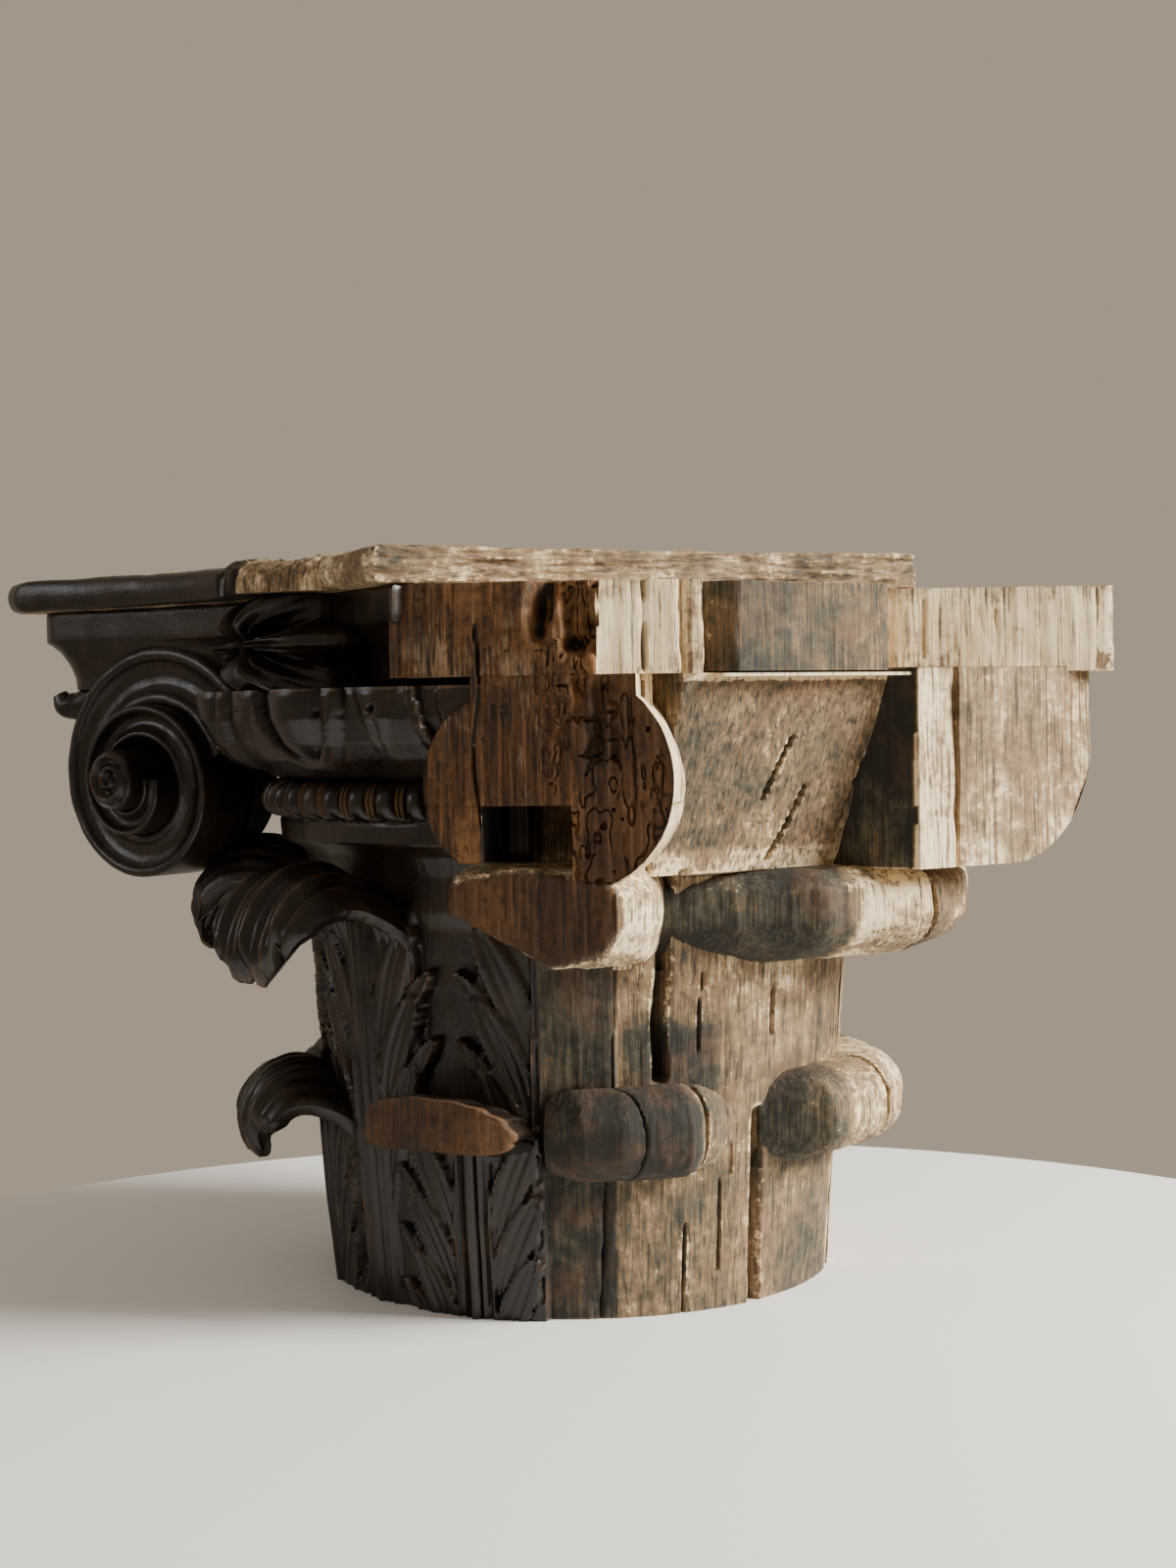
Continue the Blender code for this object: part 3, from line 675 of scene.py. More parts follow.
# ---- leaf tips -----------------------------------------------------------------------------------
def curl_path(size, count):
    """A leaf tip's middle line as (radius, height): two quarter ellipses, up off the bell and over."""
    shoulder = size["top"] - size["curl"]
    start = np.interp(shoulder, PROFILE[:, 0], PROFILE[:, 1]) + 0.0015
    reach = size["reach"] - start
    low = np.array([[start - 0.001, shoulder - 0.016]])
    a = np.radians(np.linspace(0, 90, 12))[:, None]
    up = np.concatenate([start + reach * 0.55 * (1 - np.cos(a)), shoulder + size["curl"] * np.sin(a)], 1)
    over = np.concatenate([start + reach * (0.55 + 0.45 * np.sin(a)),
                           size["top"] - size["drop"] * (1 - np.cos(a))], 1)[1:]
    hook = np.array([[size["reach"] - 0.004, size["top"] - size["drop"] - 0.004]])
    return resample(np.concatenate([low, up, over, hook]), count, closed=False, rounding=2)


def leaf_tip(name, degrees, size, node, seed, broken=0.0, rows=68, across=83):
    """The curled end of a leaf: a cupped sheet whose flutes run along the curl, whose sides droop, and whose
    end is cut back into round lobes of different lengths."""
    path = curl_path(size, 200)
    along = unit(np.gradient(path, axis=0))
    steps = np.linspace(0, 1, 200)
    a = column(0, 1, rows)
    side = row(-1, 1, across)
    lobes = 0.5 - 0.5 * np.cos(2 * np.pi * (1.75 * side + 0.25 + 0.06 * seed))
    back_cut = 0.20 * np.abs(side) ** 2.5 + 0.11 * lobes ** 4 + 0.02 * np.cos(11 * side + seed)
    q = a * (1 - back_cut)
    radius = np.interp(q, steps, path[:, 0])
    height = np.interp(q, steps, path[:, 1])
    out = np.stack([np.interp(q, steps, along[:, 1]), -np.interp(q, steps, along[:, 0])], -1)
    half = size["half"] * (0.98 - 0.10 * smoothstep((q - 0.5) / 0.5))
    flutes = 0.0013 * np.cos(2 * np.pi * 5.5 * side) - 0.0034 * lobes ** 6 * smoothstep((q - 0.25) / 0.3)
    rib = 0.0020 * bump(side / 0.09) - 0.0014 * bump((np.abs(side) - 0.13) / 0.03)
    droop = 0.0170 * np.abs(side) ** 2.2 * smoothstep(q / 0.4) * (1 - 0.75 * smoothstep((q - 0.45) / 0.4))
    lift = flutes * (0.6 + 0.5 * q) + rib * (1 - 0.5 * q)
    turn = np.radians(degrees) + side * half / (radius + 0.012)
    lift = lift + 0.0010 * noise(xyz(side * 3, q * 4, 0), 2.0, seed)
    rim = np.clip(1 - np.minimum((1 - np.abs(side)) / 0.10, (1 - a) / 0.09), 0, 1) ** 2
    thick = 0.0130 * (1 - 0.20 * q)
    sheets = []
    for offset in (lift - 0.5 * thick * rim, lift - thick + 0.5 * thick * rim):
        r = radius + out[..., 0] * offset
        z = height + out[..., 1] * offset - droop
        sheets.append(xyz(r * np.cos(turn), r * np.sin(turn), z))
    front, back = sheets
    loops = np.concatenate([front, back[:, ::-1]], 1)
    chipped = np.zeros(loops.shape[:2])
    torn = smoothstep((a - 0.72) / 0.08) * smoothstep((0.6 - np.abs(side - 0.25)) / 0.2)
    chipped[:, :across] = broken * torn * (0.4 + 0.6 * noise(front, 130, seed))
    loops = loops + out_normals(loops) * (rough(loops, 160, seed, 2) * 0.0003)[..., None]
    solid(name, loops, node, raw=chipped, dust=0.9, sharp=70)


def cut_leaf(name, mirror, node):
    """The lower leaf whose curl is broken off flat: an oval stub with grooved flanks and a fibrous face."""
    rows, count = (40, 110) if mirror else (54, 180)
    share = column(0, 1, rows)
    phi = row(0, TURN, count, endpoint=False)
    wide = 0.0385 * (1 + 0.05 * np.cos(3 * phi + 0.5))
    tall = np.where(np.sin(phi) > 0, 0.0125, 0.0140) * (1 + 0.10 * np.cos(2 * phi + 0.4))
    flutes = 1 + 0.05 * np.cos(15 * phi) * (1 - share) * (np.sin(phi) > -0.2)
    reach = np.interp(share, (0, 0.45, 0.55, 1.0), (0.118, 0.1600, 0.1645, 0.1645))
    size = np.interp(share, (0, 0.30, 0.50, 0.55, 1.0), (0.92, 0.97, 1.0, 0.97, 0.02))
    u = wide * size * flutes * np.sign(np.cos(phi)) * np.abs(np.cos(phi)) ** 0.8
    bend = 0.0050 * (u / 0.038) ** 2
    z = 0.0965 + tall * size * flutes * np.sign(np.sin(phi)) * np.abs(np.sin(phi)) ** 0.8 - bend
    z = z - 0.016 * (1 - np.clip(share / 0.45, 0, 1)) ** 2
    face = smoothstep((share - 0.46) / 0.04) + 0 * phi
    fibres = smoothstep((share - 0.53) / 0.03) * (rough(xyz(u, 0, z), (520, 1, 24), 15) + 1) * 0.0005
    reach = reach - fibres - 0.010 * (u / 0.038) ** 2
    forward, right = facing(61.5 if mirror else 208.5)
    loops = forward * reach[..., None] + right * u[..., None] + UPRIGHT * z[..., None]
    solid(name, loops, node, cut=face, dust=-0.15, sharp=55)


# ---- blocked-out pieces --------------------------------------------------------------------------
NEAR_DETAIL = 0.64  # share of the stated points that a blank gets on the near sides
FAR_DETAIL = 0.40  # and on the plainer far sides
BAND = 0.1285  # radius outside which the lower row's blanks are shaped


def sides():
    """The near bare side and its mirror image: a flag, the names' first word, and its two blocks."""
    yield False, "", "carved_block", "middle_block"
    yield True, "far_", "middle_block", "outer_block"


def dense_levels(levels, count):
    """Rows (height, inset) evenly along a profile, its corners slightly eased."""
    return resample(np.asarray(levels, float), count, closed=False, rounding=1)


def weathered(loops, seed, strength=1.0):
    """Moves a blank's surface in and out: lumps from the adze, upright grain, and nibbled edges."""
    wear = np.clip(standout(loops, 6), 0, 2)
    lumps = rough(loops, 45, seed, 2) * 0.0006
    grain = rough(loops, (480, 480, 24), seed + 3, 3) * sizes().grain_depth * 1.1
    nibble = wear * np.clip(0.5 + rough(loops, 110, seed + 5, 2), 0, 1.5) * 0.0011
    return loops + out_normals(loops) * ((lumps + grain - nibble) * strength)[..., None]


def blank_stack(name, plan, levels, node, seed, count, rows, inner=0.131, slot="weathered_blank", finish=None,
                raw=1.0, dust=0.4, cracks=(), limits=None, mirror=False, rounding=1, strength=1.0, saw=False,
                bend=None):
    """A blocked-out shape: a plan outline at every level of a profile, pulled in by the level's inset
    wherever it is farther from the axis than inner. raw and dust may be functions of the points."""
    detail = FAR_DETAIL if mirror else NEAR_DETAIL
    outline = resample(plan, round(count * detail), rounding=rounding)
    profile = dense_levels(levels, max(8, round(rows * detail)))
    radius = np.linalg.norm(outline, axis=1)[None, :]
    inset = np.where(radius > inner, profile[:, 1:], 0)
    scale = (radius - inset) / radius
    loops = xyz(outline[None, :, 0] * scale, outline[None, :, 1] * scale, profile[:, :1])
    if saw:
        loops = clip_saws(loops)
    cut = on_saw(loops) if saw else np.zeros(loops.shape[:2])
    raw = raw(loops) if callable(raw) else raw
    loops = weathered(loops, seed, strength)
    if saw:
        u = (loops[..., 0] - loops[..., 1]) / ROOT2
        pit = saw_relief(u, loops[..., 2]) * on_saw(loops, 0.002)
        loops = loops + INWARD * pit[..., None]
    for x0, low, high, half_width, depth in cracks:
        dip = crack(loops, x0, low, high, half_width, depth, seed=seed)
        face = (loops[..., 1] < -0.05)[..., None]
        loops = loops + np.where(face, np.array((0, 1.0, 0)) * dip[..., None], 0)
    if bend is not None:
        loops = bend(loops)
    wear = standout(loops, 3)
    powder_and_shading = (dust(loops) if callable(dust) else dust) + 0.3 * noise(loops, 25, seed)
    if limits is not None:
        loops = parted(loops, *limits)
    solid(name, loops, node, slot, finish, raw=raw, cut=cut, dust=powder_and_shading, wear=wear, mirror=mirror)


UPPER_BLANK = ((-0.048, -0.1265), (0.018, -0.171), (0.085, -0.1715), (0.108, -0.164), (0.126, -0.150),
               (0.136, -0.136), (0.070, -0.070), (-0.020, -0.090))
UPPER_LEVELS = ((0.1610, 0.046), (0.1630, 0.026), (0.1700, 0.008), (0.1800, 0.0), (0.1990, 0.0015),
                (0.2060, 0.0125), (0.2075, 0.050))
LOWER_LEFT_BLANK = ((-0.094, -0.100), (-0.090, -0.124), (-0.074, -0.137), (-0.044, -0.148), (-0.004, -0.127),
                    (-0.030, -0.090))
LOWER_RIGHT_BLANK = ((0.010, -0.127), (0.040, -0.150), (0.085, -0.136), (0.108, -0.120), (0.124, -0.098),
                     (0.070, -0.050))
LOWER_LEVELS = ((0.0640, 0.040), (0.0665, 0.018), (0.0700, 0.007), (0.0790, 0.0), (0.0950, 0.0),
                (0.1030, 0.005), (0.1080, 0.014), (0.1095, 0.040))


def diagonal(r, u):
    """Plan coordinates from the distance along the sawn corner's diagonal and the offset to its right."""
    return (-r + u) / ROOT2, (-r - u) / ROOT2


INWARD = np.array((1, 1, 0)) / ROOT2  # square into the sawn flat

NEAR_LEAF = tuple(diagonal(r, u) for r, u in (
    (0.120, -0.020), (0.188, -0.027), (0.202, 0.006), (0.190, 0.044), (0.166, 0.060), (0.120, 0.060)))
NEAR_LEVELS = ((0.1620, 0.060), (0.1640, 0.030), (0.1700, 0.012), (0.1850, 0.0), (0.2020, 0.0),
               (0.2080, 0.009), (0.2120, 0.021), (0.2130, 0.050))
NEAR_ABACUS = ((-0.187, -0.106), (-0.160, -0.099), (-0.100, -0.030), (-0.068, -0.020), (-0.068, -0.120),
               (-0.066, -0.1450), (-0.0655, -0.1735), (-0.099, -0.157), (-0.150, -0.200))
NEAR_ABACUS_STRIP = ((-0.0635, -0.100), (-0.0635, -0.1745), (-0.056, -0.178), (-0.056, -0.148),
                     (-0.050, -0.138), (-0.040, -0.100))
ROSETTE_BLANK = ((-0.048, -0.110), (-0.048, -0.170), (-0.040, -0.181), (0.048, -0.181), (0.059, -0.165),
                 (0.059, -0.110))
MIDDLE_ABACUS = ((-0.0635, -0.080), (-0.060, -0.1365), (0.083, -0.1388), (0.083, -0.080))
LEDGE = ((-0.050, -0.120), (-0.050, -0.1815), (0.055, -0.1830), (0.083, -0.1830), (0.083, -0.120))
RIGHT_ABACUS = ((0.087, -0.060), (0.087, -0.1400), (0.178, -0.198), (0.198, -0.178), (0.139, -0.087),
                (0.120, -0.060))


def lobe(name, low, high, left, right, node, rows, count, mirror):
    """Wood behind the sawn flat between two sideways limits that change with height: at each row the front
    runs across the flat, and the other sides run straight back into the bell."""
    z = column(low, high, rows)
    lo, hi = left(z), right(z)
    deep = row(0, 1, 24)
    front_u = lo + (hi - lo) * row(0, 1, count)
    side = SAW - 0.075 * deep + 0 * z
    u = np.concatenate([front_u, hi + 0 * deep, lo + 0 * deep], 1)
    r = np.concatenate([SAW + 0 * front_u, side, side[:, ::-1]], 1)
    face = np.concatenate([np.ones(front_u.shape), np.zeros((rows, 2 * deep.size))], 1)
    pit = saw_relief(u, z + 0 * u) * face
    loops = weathered(xyz(*diagonal(r, u), z), 43, 0.5) + INWARD * pit[..., None]
    wear = np.where(face > 0.5, standout(loops, 2), standout(loops, 3))
    # Painted light and shade: the sides that run back into the bell are lit beyond u 0.0305 and darkened
    # elsewhere.
    sides_painted_light = np.where(u > 0.0305, 1.1, -2.2)
    tone = np.where(face > 0.5, 0.6 - 1.1 * smoothstep((u - 0.030) / 0.012), sides_painted_light)
    solid(name, loops, node, finish="weathered_blank", raw=1.0, cut=face, dust=tone, wear=wear, sharp=50,
          mirror=mirror)


def worm_tracks(u, z):
    """Beetle galleries: grooves where a bent noise field crosses zero, and small round flight holes."""
    p = xyz(u, z * 0.45, 0)
    total = np.zeros(u.shape)
    for scale, seed in ((190, 21), (300, 25)):
        field = noise(p, scale, seed) + 0.3 * noise(p, scale * 2.3, seed + 1)
        total = np.maximum(total, bump(field / 0.12) * smoothstep((noise(p, 85, seed + 2) + 0.05) / 0.2))
    holes = smoothstep((noise(xyz(u, z, 0), 260, 28) - 0.62) / 0.08)
    return np.maximum(total, 1.4 * holes)


def saw_relief(u, z):
    """Depth of the sawn flat: upright fibres, worm tracks to the right, and rotten wood at the top right."""
    p = xyz(u, 0, z)
    fibres = (rough(p, (520, 1, 22), 31) + 1) * 0.00035
    right = smoothstep((u - 0.010) / 0.02)
    tracks = worm_tracks(u, z) * 0.0017 * (0.15 + 0.85 * right * smoothstep((z - 0.204) / 0.006))
    ragged = np.clip(0.45 + 0.8 * noise(p, (230, 1, 48), 34) + 0.5 * noise(p, (110, 1, 110), 35), 0, 1.4)
    rot_floor = 0.3020 + 0.35 * np.clip(0.034 - u, 0, 0.03)
    corner = smoothstep((u - 0.006) / 0.012) * smoothstep((z - rot_floor) / 0.008)
    strip = window(u, 0.032, 0.048, 0.004) * window(z, 0.262, 0.292, 0.006)
    rot = (corner * 0.0130 + strip * 0.0060) * ragged
    split = 0.0030 * bump((u + 0.0125 - 0.0015 * np.sin(z * 90)) / 0.0006) * window(z, 0.236, 0.312, 0.01)
    return fibres + tracks + rot + split


def near_corner(mirror):
    """The sawn corner: both volute lobes and the wood over the notch between them."""

    def left_edge(z):
        return np.where(z < 0.2860, -0.0062 - 0.0305 * half_round((z - 0.2490) / 0.0385), -0.0150)

    def right_edge(z):
        bulge = 0.0420 * half_round((z - 0.2500) / 0.0470)
        return 0.0320 + np.where(z < 0.2500, bulge, np.maximum(bulge, 0.026))

    for name, low, high, left, right, rows, count in (
            ("lobe_left", 0.2150, 0.2400, left_edge, lambda z: -0.0112 + 0 * z, 50, 50),
            ("lobe_right", 0.2070, 0.2400, lambda z: 0.0290 + 0 * z, right_edge, 76, 104),
            ("lobe_bridge", 0.2400, ABACUS_BOTTOM, left_edge, right_edge, 120, 196)):
        if mirror:
            lobe("far_" + name, low, high, left, right, "middle_block", rows // 2, count // 2, True)
        else:
            lobe("near_" + name, low, high, left, right, "carved_block", rows, count, False)


def abacus_blanks():
    """The blocked-out abacus layer on each bare side: sawn corner block, strip, ledge, middle, flower blank
    and outer corner. Each slab lies a hair lower than its neighbour, so that no two faces coincide."""
    for mirror, tag, near, middle in sides():
        tag = tag or "near_"

        def slab(name, plan, node, drop, seed, count, rows, finish="pale_blank", **rest):
            low = drop + 0.0003 * mirror
            levels = (ABACUS_BOTTOM - low, 0.0), (BLOCK_TOP - low, 0.0)
            blank_stack(tag + name, plan, levels, node, seed, count, rows, finish=finish, mirror=mirror,
                        **rest)

        slab("abacus_corner", NEAR_ABACUS, near, 0.0, 51, 440, 48, dust=1.0, saw=True,
             cracks=((-0.0800, 0.300, 0.3372, 0.0006, 0.003),))
        slab("abacus_strip", NEAR_ABACUS_STRIP, middle, 0.0002, 52, 180, 44, dust=0.9)
        blank_stack(tag + "ledge", LEDGE, ((0.2948, 0.0), (0.2962, 0.0)), middle, 56, 260, 8, dust=1.3,
                    finish="pale_blank", mirror=mirror, strength=0.3)
        slab("abacus_middle", MIDDLE_ABACUS, middle, 0.0008, 53, 220, 30, "weathered_blank")
        levels = (0.2972, 0.0), (0.330, 0.0), (BLOCK_TOP - 0.0005 - 0.0003 * mirror, 0.002)
        # Painted shade on the flower blank left of x 0.050, painted light on its right end.
        blank_stack(tag + "flower_blank", ROSETTE_BLANK, levels, middle, 54, 360, 52, FAR, mirror=mirror,
                    dust=painted_side_light(-0.25, 0.7, 0.050, 0.004), rounding=2)
        # Painted light on the horn, painted shade on its end past x 0.172.
        slab("abacus_horn", RIGHT_ABACUS, "outer_block", 0.0001, 55, 420, 52, slot="tan_blank", rounding=2,
             dust=painted_side_light(0.95, -0.2, 0.172, 0.02),
             cracks=((0.100, 0.305, 0.330, 0.0005, 0.002), (0.130, 0.300, 0.325, 0.0006, 0.002)))


def volute_blank(name, x_low, x_high, node, finish, seed, tone, rounded=True, mirror=False):
    """The blocked-out volute: a plate towards -Y with a straight inner side, whose outer lower edge is round.
    Each row runs along the front, back along the right side, and returns inside."""
    count, rows = (60, 44) if mirror else (100, 70)
    z = column(0.2050, 0.2985, rows)
    reach = x_high + 0 * z
    if rounded:
        reach = 0.1180 + 0.0560 * half_round(np.clip(0.2600 - z, 0, 0.0549) / 0.0550)
    deep = row(0, 1, 40)
    lean = -0.030 * deep
    front_x = x_low + (reach - x_low) * row(0, 1, count)
    side_y = -0.186 + 0.075 * deep + 0 * z
    x = np.concatenate([front_x, reach + lean * rounded, (x_low + lean * (not rounded) + 0 * z)[:, ::-1]], 1)
    y = np.concatenate([-0.1860 + 0 * front_x, side_y, side_y[:, ::-1]], 1)
    loops = weathered(xyz(x, y, z), seed)
    # Painted shade: the side walls behind the front face, left of x 0.08, are darkened.
    shaded = (loops[..., 1] > -0.184) & (loops[..., 0] < 0.08)
    dust = tone - 2.6 * shaded + 0.5 * smoothstep((0.245 - loops[..., 2]) / 0.03)
    solid(name, loops, node, "tan_blank", finish, raw=1.0, dust=dust, mirror=mirror)


def painted_side_light(left, right, place, width=0.012):
    """A tone that changes from left to right at one x: painted light and shade, darker where a blank's facets
    turn from the light.
    """
    return lambda p: left + (right - left) * smoothstep((p[..., 0] - place) / width)


def near_leaf_shape(p):
    """The near leaf's underside rises towards its carved left end."""
    u = (p[..., 0] - p[..., 1]) / ROOT2
    floor_height = 0.1690 + 0.55 * np.clip(0.0193 - u, 0, 0.05) + 0.0015 * noise(p, 140, 5)
    keep = np.linalg.norm(p[..., :2], axis=-1) > 0.135
    return xyz(p[..., 0], p[..., 1], np.where(keep, np.maximum(p[..., 2], floor_height), p[..., 2]))


# ---- carved volute -------------------------------------------------------------------------------
VOLUTE = dict(centre=(-0.1760, 0.1340, 0.2500), look=201.0, radius=0.0690, keep=0.565, turns=1.80, rise=0.021,
              thick=0.030)


VOLUTE_SECTION = (  # share from the outer to the inner rim, lift in shares of the band's width
    (0.00, -0.06), (0.04, 0.0), (0.13, 0.015), (0.20, -0.01), (0.25, -0.09), (0.36, -0.16), (0.50, -0.19),
    (0.64, -0.17), (0.76, -0.10), (0.82, -0.02), (0.90, 0.0), (0.98, -0.02), (1.03, -0.10))
VOLUTE_EYE = (  # radius, height over the band's plane
    (0.0150, -0.012), (0.0154, 0.0240), (0.0146, 0.0285), (0.0120, 0.0300), (0.0060, 0.0300),
    (0.0006, 0.0295))


def volute(name, mirror, node):
    """A band wound like a ram's horn: its outer rim shrinks by the same share every turn while it climbs
    outwards, and across it run a rim, a hollow channel, another rim and the wall down to the next turn. A
    button with a spiral groove fills its middle."""
    v = VOLUTE
    forward, right = facing(v["look"])

    def wound(rho, phi, depth):
        ring = right * np.cos(phi)[..., None] + UPRIGHT * np.sin(phi)[..., None]
        return np.array(v["centre"]) + ring * rho[..., None] + forward * depth[..., None]

    tau = column(-0.16, v["turns"], 150 if mirror else 270)
    outer = v["radius"] * v["keep"] ** tau
    inner = outer * v["keep"]
    front = 40
    f, lift = resample(VOLUTE_SECTION, front, closed=False, rounding=1).T
    band = outer - inner
    climb = v["rise"] * np.clip(tau / v["turns"], 0, 1) ** 1.25
    depth = climb + band * lift[None, :] * (1 + 1.3 * smoothstep((tau - 0.7) / 0.5))
    back_rho = np.concatenate([inner * 0.98, (outer + inner) / 2, outer], 1)
    back_depth = np.where(tau > 0.9, climb - 0.022, -v["thick"] + 0 * back_rho)
    rho = np.concatenate([outer - band * f[None, :], back_rho], 1)
    loops = wound(rho, TURN * (tau + 0.20), np.concatenate([depth, back_depth], 1))
    loops = loops + rough(loops, 130, 61, 2)[..., None] * forward * 0.0003
    over = np.maximum(loops[..., 0] + loops[..., 1] + 0.0006, 0)[..., None]
    loops = loops - over * np.array((0.5, 0.5, 0))
    wear = np.clip(standout(loops, 2), -1, 1)
    wear[:, front - 1:] = wear[:, :1] = 0
    solid(name, loops, node, wear=wear, sharp=38, mirror=mirror)
    angle = row(0, TURN, 72, endpoint=False)
    wide, rise = (c[:, None] for c in resample(VOLUTE_EYE, 60, closed=False, rounding=1).T)
    swirl = 0.0017 * np.sin(angle + wide * 1000) * smoothstep((0.0150 - wide) / 0.003)
    solid(name + "_eye", wound(wide + 0 * angle, angle, rise + swirl), node, sharp=50, mirror=mirror)


def horn_hook():
    """The small curl under the carved horn: a rod whose middle line hangs down and turns up at its end."""
    line = ((0.236, 0.3010, 0.0085), (0.256, 0.2935, 0.0080), (0.268, 0.2880, 0.0075),
            (0.2765, 0.2885, 0.0066), (0.2795, 0.2945, 0.0040))  # radius, height, half-thickness
    path = resample(line, 40, closed=False, rounding=2)
    phi = row(0, TURN, 40, endpoint=False)
    along = unit(np.gradient(path[:, :2], axis=0))
    ring = path[:, 2:] * np.cos(phi)
    r = path[:, :1] + along[:, 1:] * ring
    z = path[:, 1:2] - along[:, :1] * ring
    side = path[:, 2:] * 0.8 * np.sin(phi)
    loops = xyz((-r + side) / ROOT2, (r + side) / ROOT2, z)
    solid("horn_hook", loops, "carved_block")


# ---- carved abacus, flower and board -------------------------------------------------------------
def concave_side(middle, corner, reach, start, end, count):
    """Plan points of a hollow side towards -X: its distance grows with the square of the way along."""
    y = np.linspace(start, end, count)
    return np.stack([-(middle + (corner - middle) * (y / reach) ** 2), y], 1)


def mirrored_plan(side):
    return np.stack([-side[::-1, 1], -side[::-1, 0]], 1)


def carved_abacus():
    """The abacus under the board on the carved sides: a fillet over a hollow, round the carved corner."""
    side = concave_side(0.154, 0.206, 0.196, -0.100, 0.192, 120)
    tip = np.array(((-0.203, 0.203),))
    plan = np.concatenate([side, tip, mirrored_plan(side), ((0.070, 0.070), (-0.070, -0.070))])
    levels = ((ABACUS_BOTTOM, 0.0165), (0.3020, 0.0160), (0.3100, 0.0125), (0.3165, 0.0075), (0.3205, 0.0025),
              (0.3212, 0.0), (0.3365, 0.0), (BLOCK_TOP, 0.001))
    blank_stack("carved_abacus", plan, levels, "carved_block", 71, 620, 56, 0.13, "waxed_carving",
                raw=0.0, dust=0.0, strength=0.35)


def flower(name, mirror, node):
    """The flower in the middle of a carved side: an oval face whose petals are lobes of its radius, each with
    ribs that run outwards, around a hollow heart."""
    rings, count = (34, 150) if mirror else (50, 230)
    q = column(0.0, 1.0, rings)
    phi = row(0, TURN, count, endpoint=False)
    wave = np.cos(6 * phi + 0.6)
    out = 1 - q
    size = (1 + 0.17 * wave + 0.06 * np.cos(3 * phi + 1.0)) * out
    ribs = 0.0017 * np.cos(36 * phi) * np.sin(np.pi * np.clip(out, 0, 1)) ** 0.7
    fold = 0.0085 * wave * np.sin(np.pi * np.clip(out, 0, 1) ** 0.8)
    heart = -0.0080 * bump(out / 0.22) + 0.0050 * bump(out / 0.09)
    front = 0.1890 - 0.0300 * out ** 2.6 + ribs + fold + heart
    z = np.minimum(0.3130 + 0.0290 * size * np.sin(phi), BLOCK_TOP - 0.0004 * q)
    face = xyz(-front, 0.0030 + 0.0400 * size * np.cos(phi), z)
    back = face[:1].copy()
    back[..., 0] = -0.1450
    loops = np.concatenate([back, face])
    loops[..., 0] -= rough(loops, 140, 72, 2) * 0.0008
    solid(name, loops, node, sharp=60, mirror=mirror)


def top_board():
    """The thin top board: a round edge along its hollow carved sides, square and torn where it is sawn."""
    side = concave_side(0.168, 0.222, 0.209, -0.098, 0.204, 90)
    carved = np.concatenate([side, ((-0.218, 0.218),), mirrored_plan(side)])
    carved = carved[carved[:, 0] < BOARD_HIGH[0] - 0.0005]
    plan = np.concatenate([carved, ((BOARD_HIGH[0], 0.182), (BOARD_HIGH[0], -0.141))])
    outline = resample(plan, 760, rounding=2)
    low, high = BOARD_LOW[2], BOARD_HIGH[2]
    round_edge = resample(((low, 0.0075), (0.3388, 0.0030), (0.3420, 0.0008), (0.3460, 0.0), (0.3495, 0.0008),
                           (0.3525, 0.0030), (high, 0.0075)), 22, closed=False, rounding=1)
    square_edge = resample(((low, 0.0008), (0.3385, 0.0), (0.3530, 0.0), (high, 0.0010)), 22, closed=False)
    nearest = np.linalg.norm(outline[:, None] - resample(carved, 900, closed=False)[None], axis=2).min(1)
    is_carved = smoothstep((0.006 - nearest) / 0.004)
    height, inset = (round_edge.T[..., None] * is_carved + square_edge.T[..., None] * (1 - is_carved))
    scale = 1 - inset / np.linalg.norm(outline, axis=1)
    loops = xyz(outline[:, 0] * scale, outline[:, 1] * scale, height)
    torn = rough(loops, (30, 200, 420), 81, 3) * 0.0011 * (1 - is_carved)
    loops = loops + out_normals(loops) * (torn + rough(loops, 60, 82, 2) * 0.0004)[..., None]
    bare_end = smoothstep((-0.036 - outline[:, 1]) / 0.004)
    raw = 1 - is_carved * (1 - bare_end) + 0 * inset
    raw[[0, -1]] = 1
    solid("board", loops, "top_board", "sawn_board", raw=raw, dust=0.35, sharp=50)


def board_flower():
    """The flower's top in the board's edge: dark flutes on its left, torn pale wood on its right."""
    plan = ((-0.155, -0.040), (-0.176, -0.040), (-0.186, -0.016), (-0.189, 0.012), (-0.185, 0.034),
            (-0.176, 0.044), (-0.155, 0.046))
    levels = ((0.3378, 0.0), (0.3470, 0.001), (0.3520, 0.006), (0.3540, 0.012))

    def fluted(p):
        return p + np.array((0.0013, 0, 0)) * (np.cos(p[..., 1:2] * 900) * (p[..., 1:2] > 0.004))

    for name, mirror in (("board_flower", False), ("board_flower_far", True)):
        blank_stack(name, plan, levels, "top_board", 91, 260, 30, slot="sawn_board", finish="pale_blank",
                    mirror=mirror, dust=0.1, strength=2.6, rounding=2,
                    raw=lambda p: smoothstep((0.006 - p[..., 1]) / 0.002), bend=fluted)


# ---- operators -----------------------------------------------------------------------------------
class CAPITAL_OT_core(bpy.types.Operator):
    """Bell, beads and echinus of the three glued blocks"""
    bl_idname = "capital.core"
    bl_label = "Turned core"

    def execute(self, context):
        left, right = SEAM_LEFT, SEAM_RIGHT
        core_block("carved_block", ((115, 160, 1.0), (160, 245.5, 0.49)), -FAR, left[0], 0.00138,
                   "waxed_carving")
        core_block("middle_block", ((236, 312, 0.56), (48, 124, 1.9)), left[1], right[0], 0.0016,
                   "weathered_blank")
        core_block("outer_block", ((-56, 56, 1.3),), right[1], FAR, 0.0019, "tan_blank")
        return {"FINISHED"}


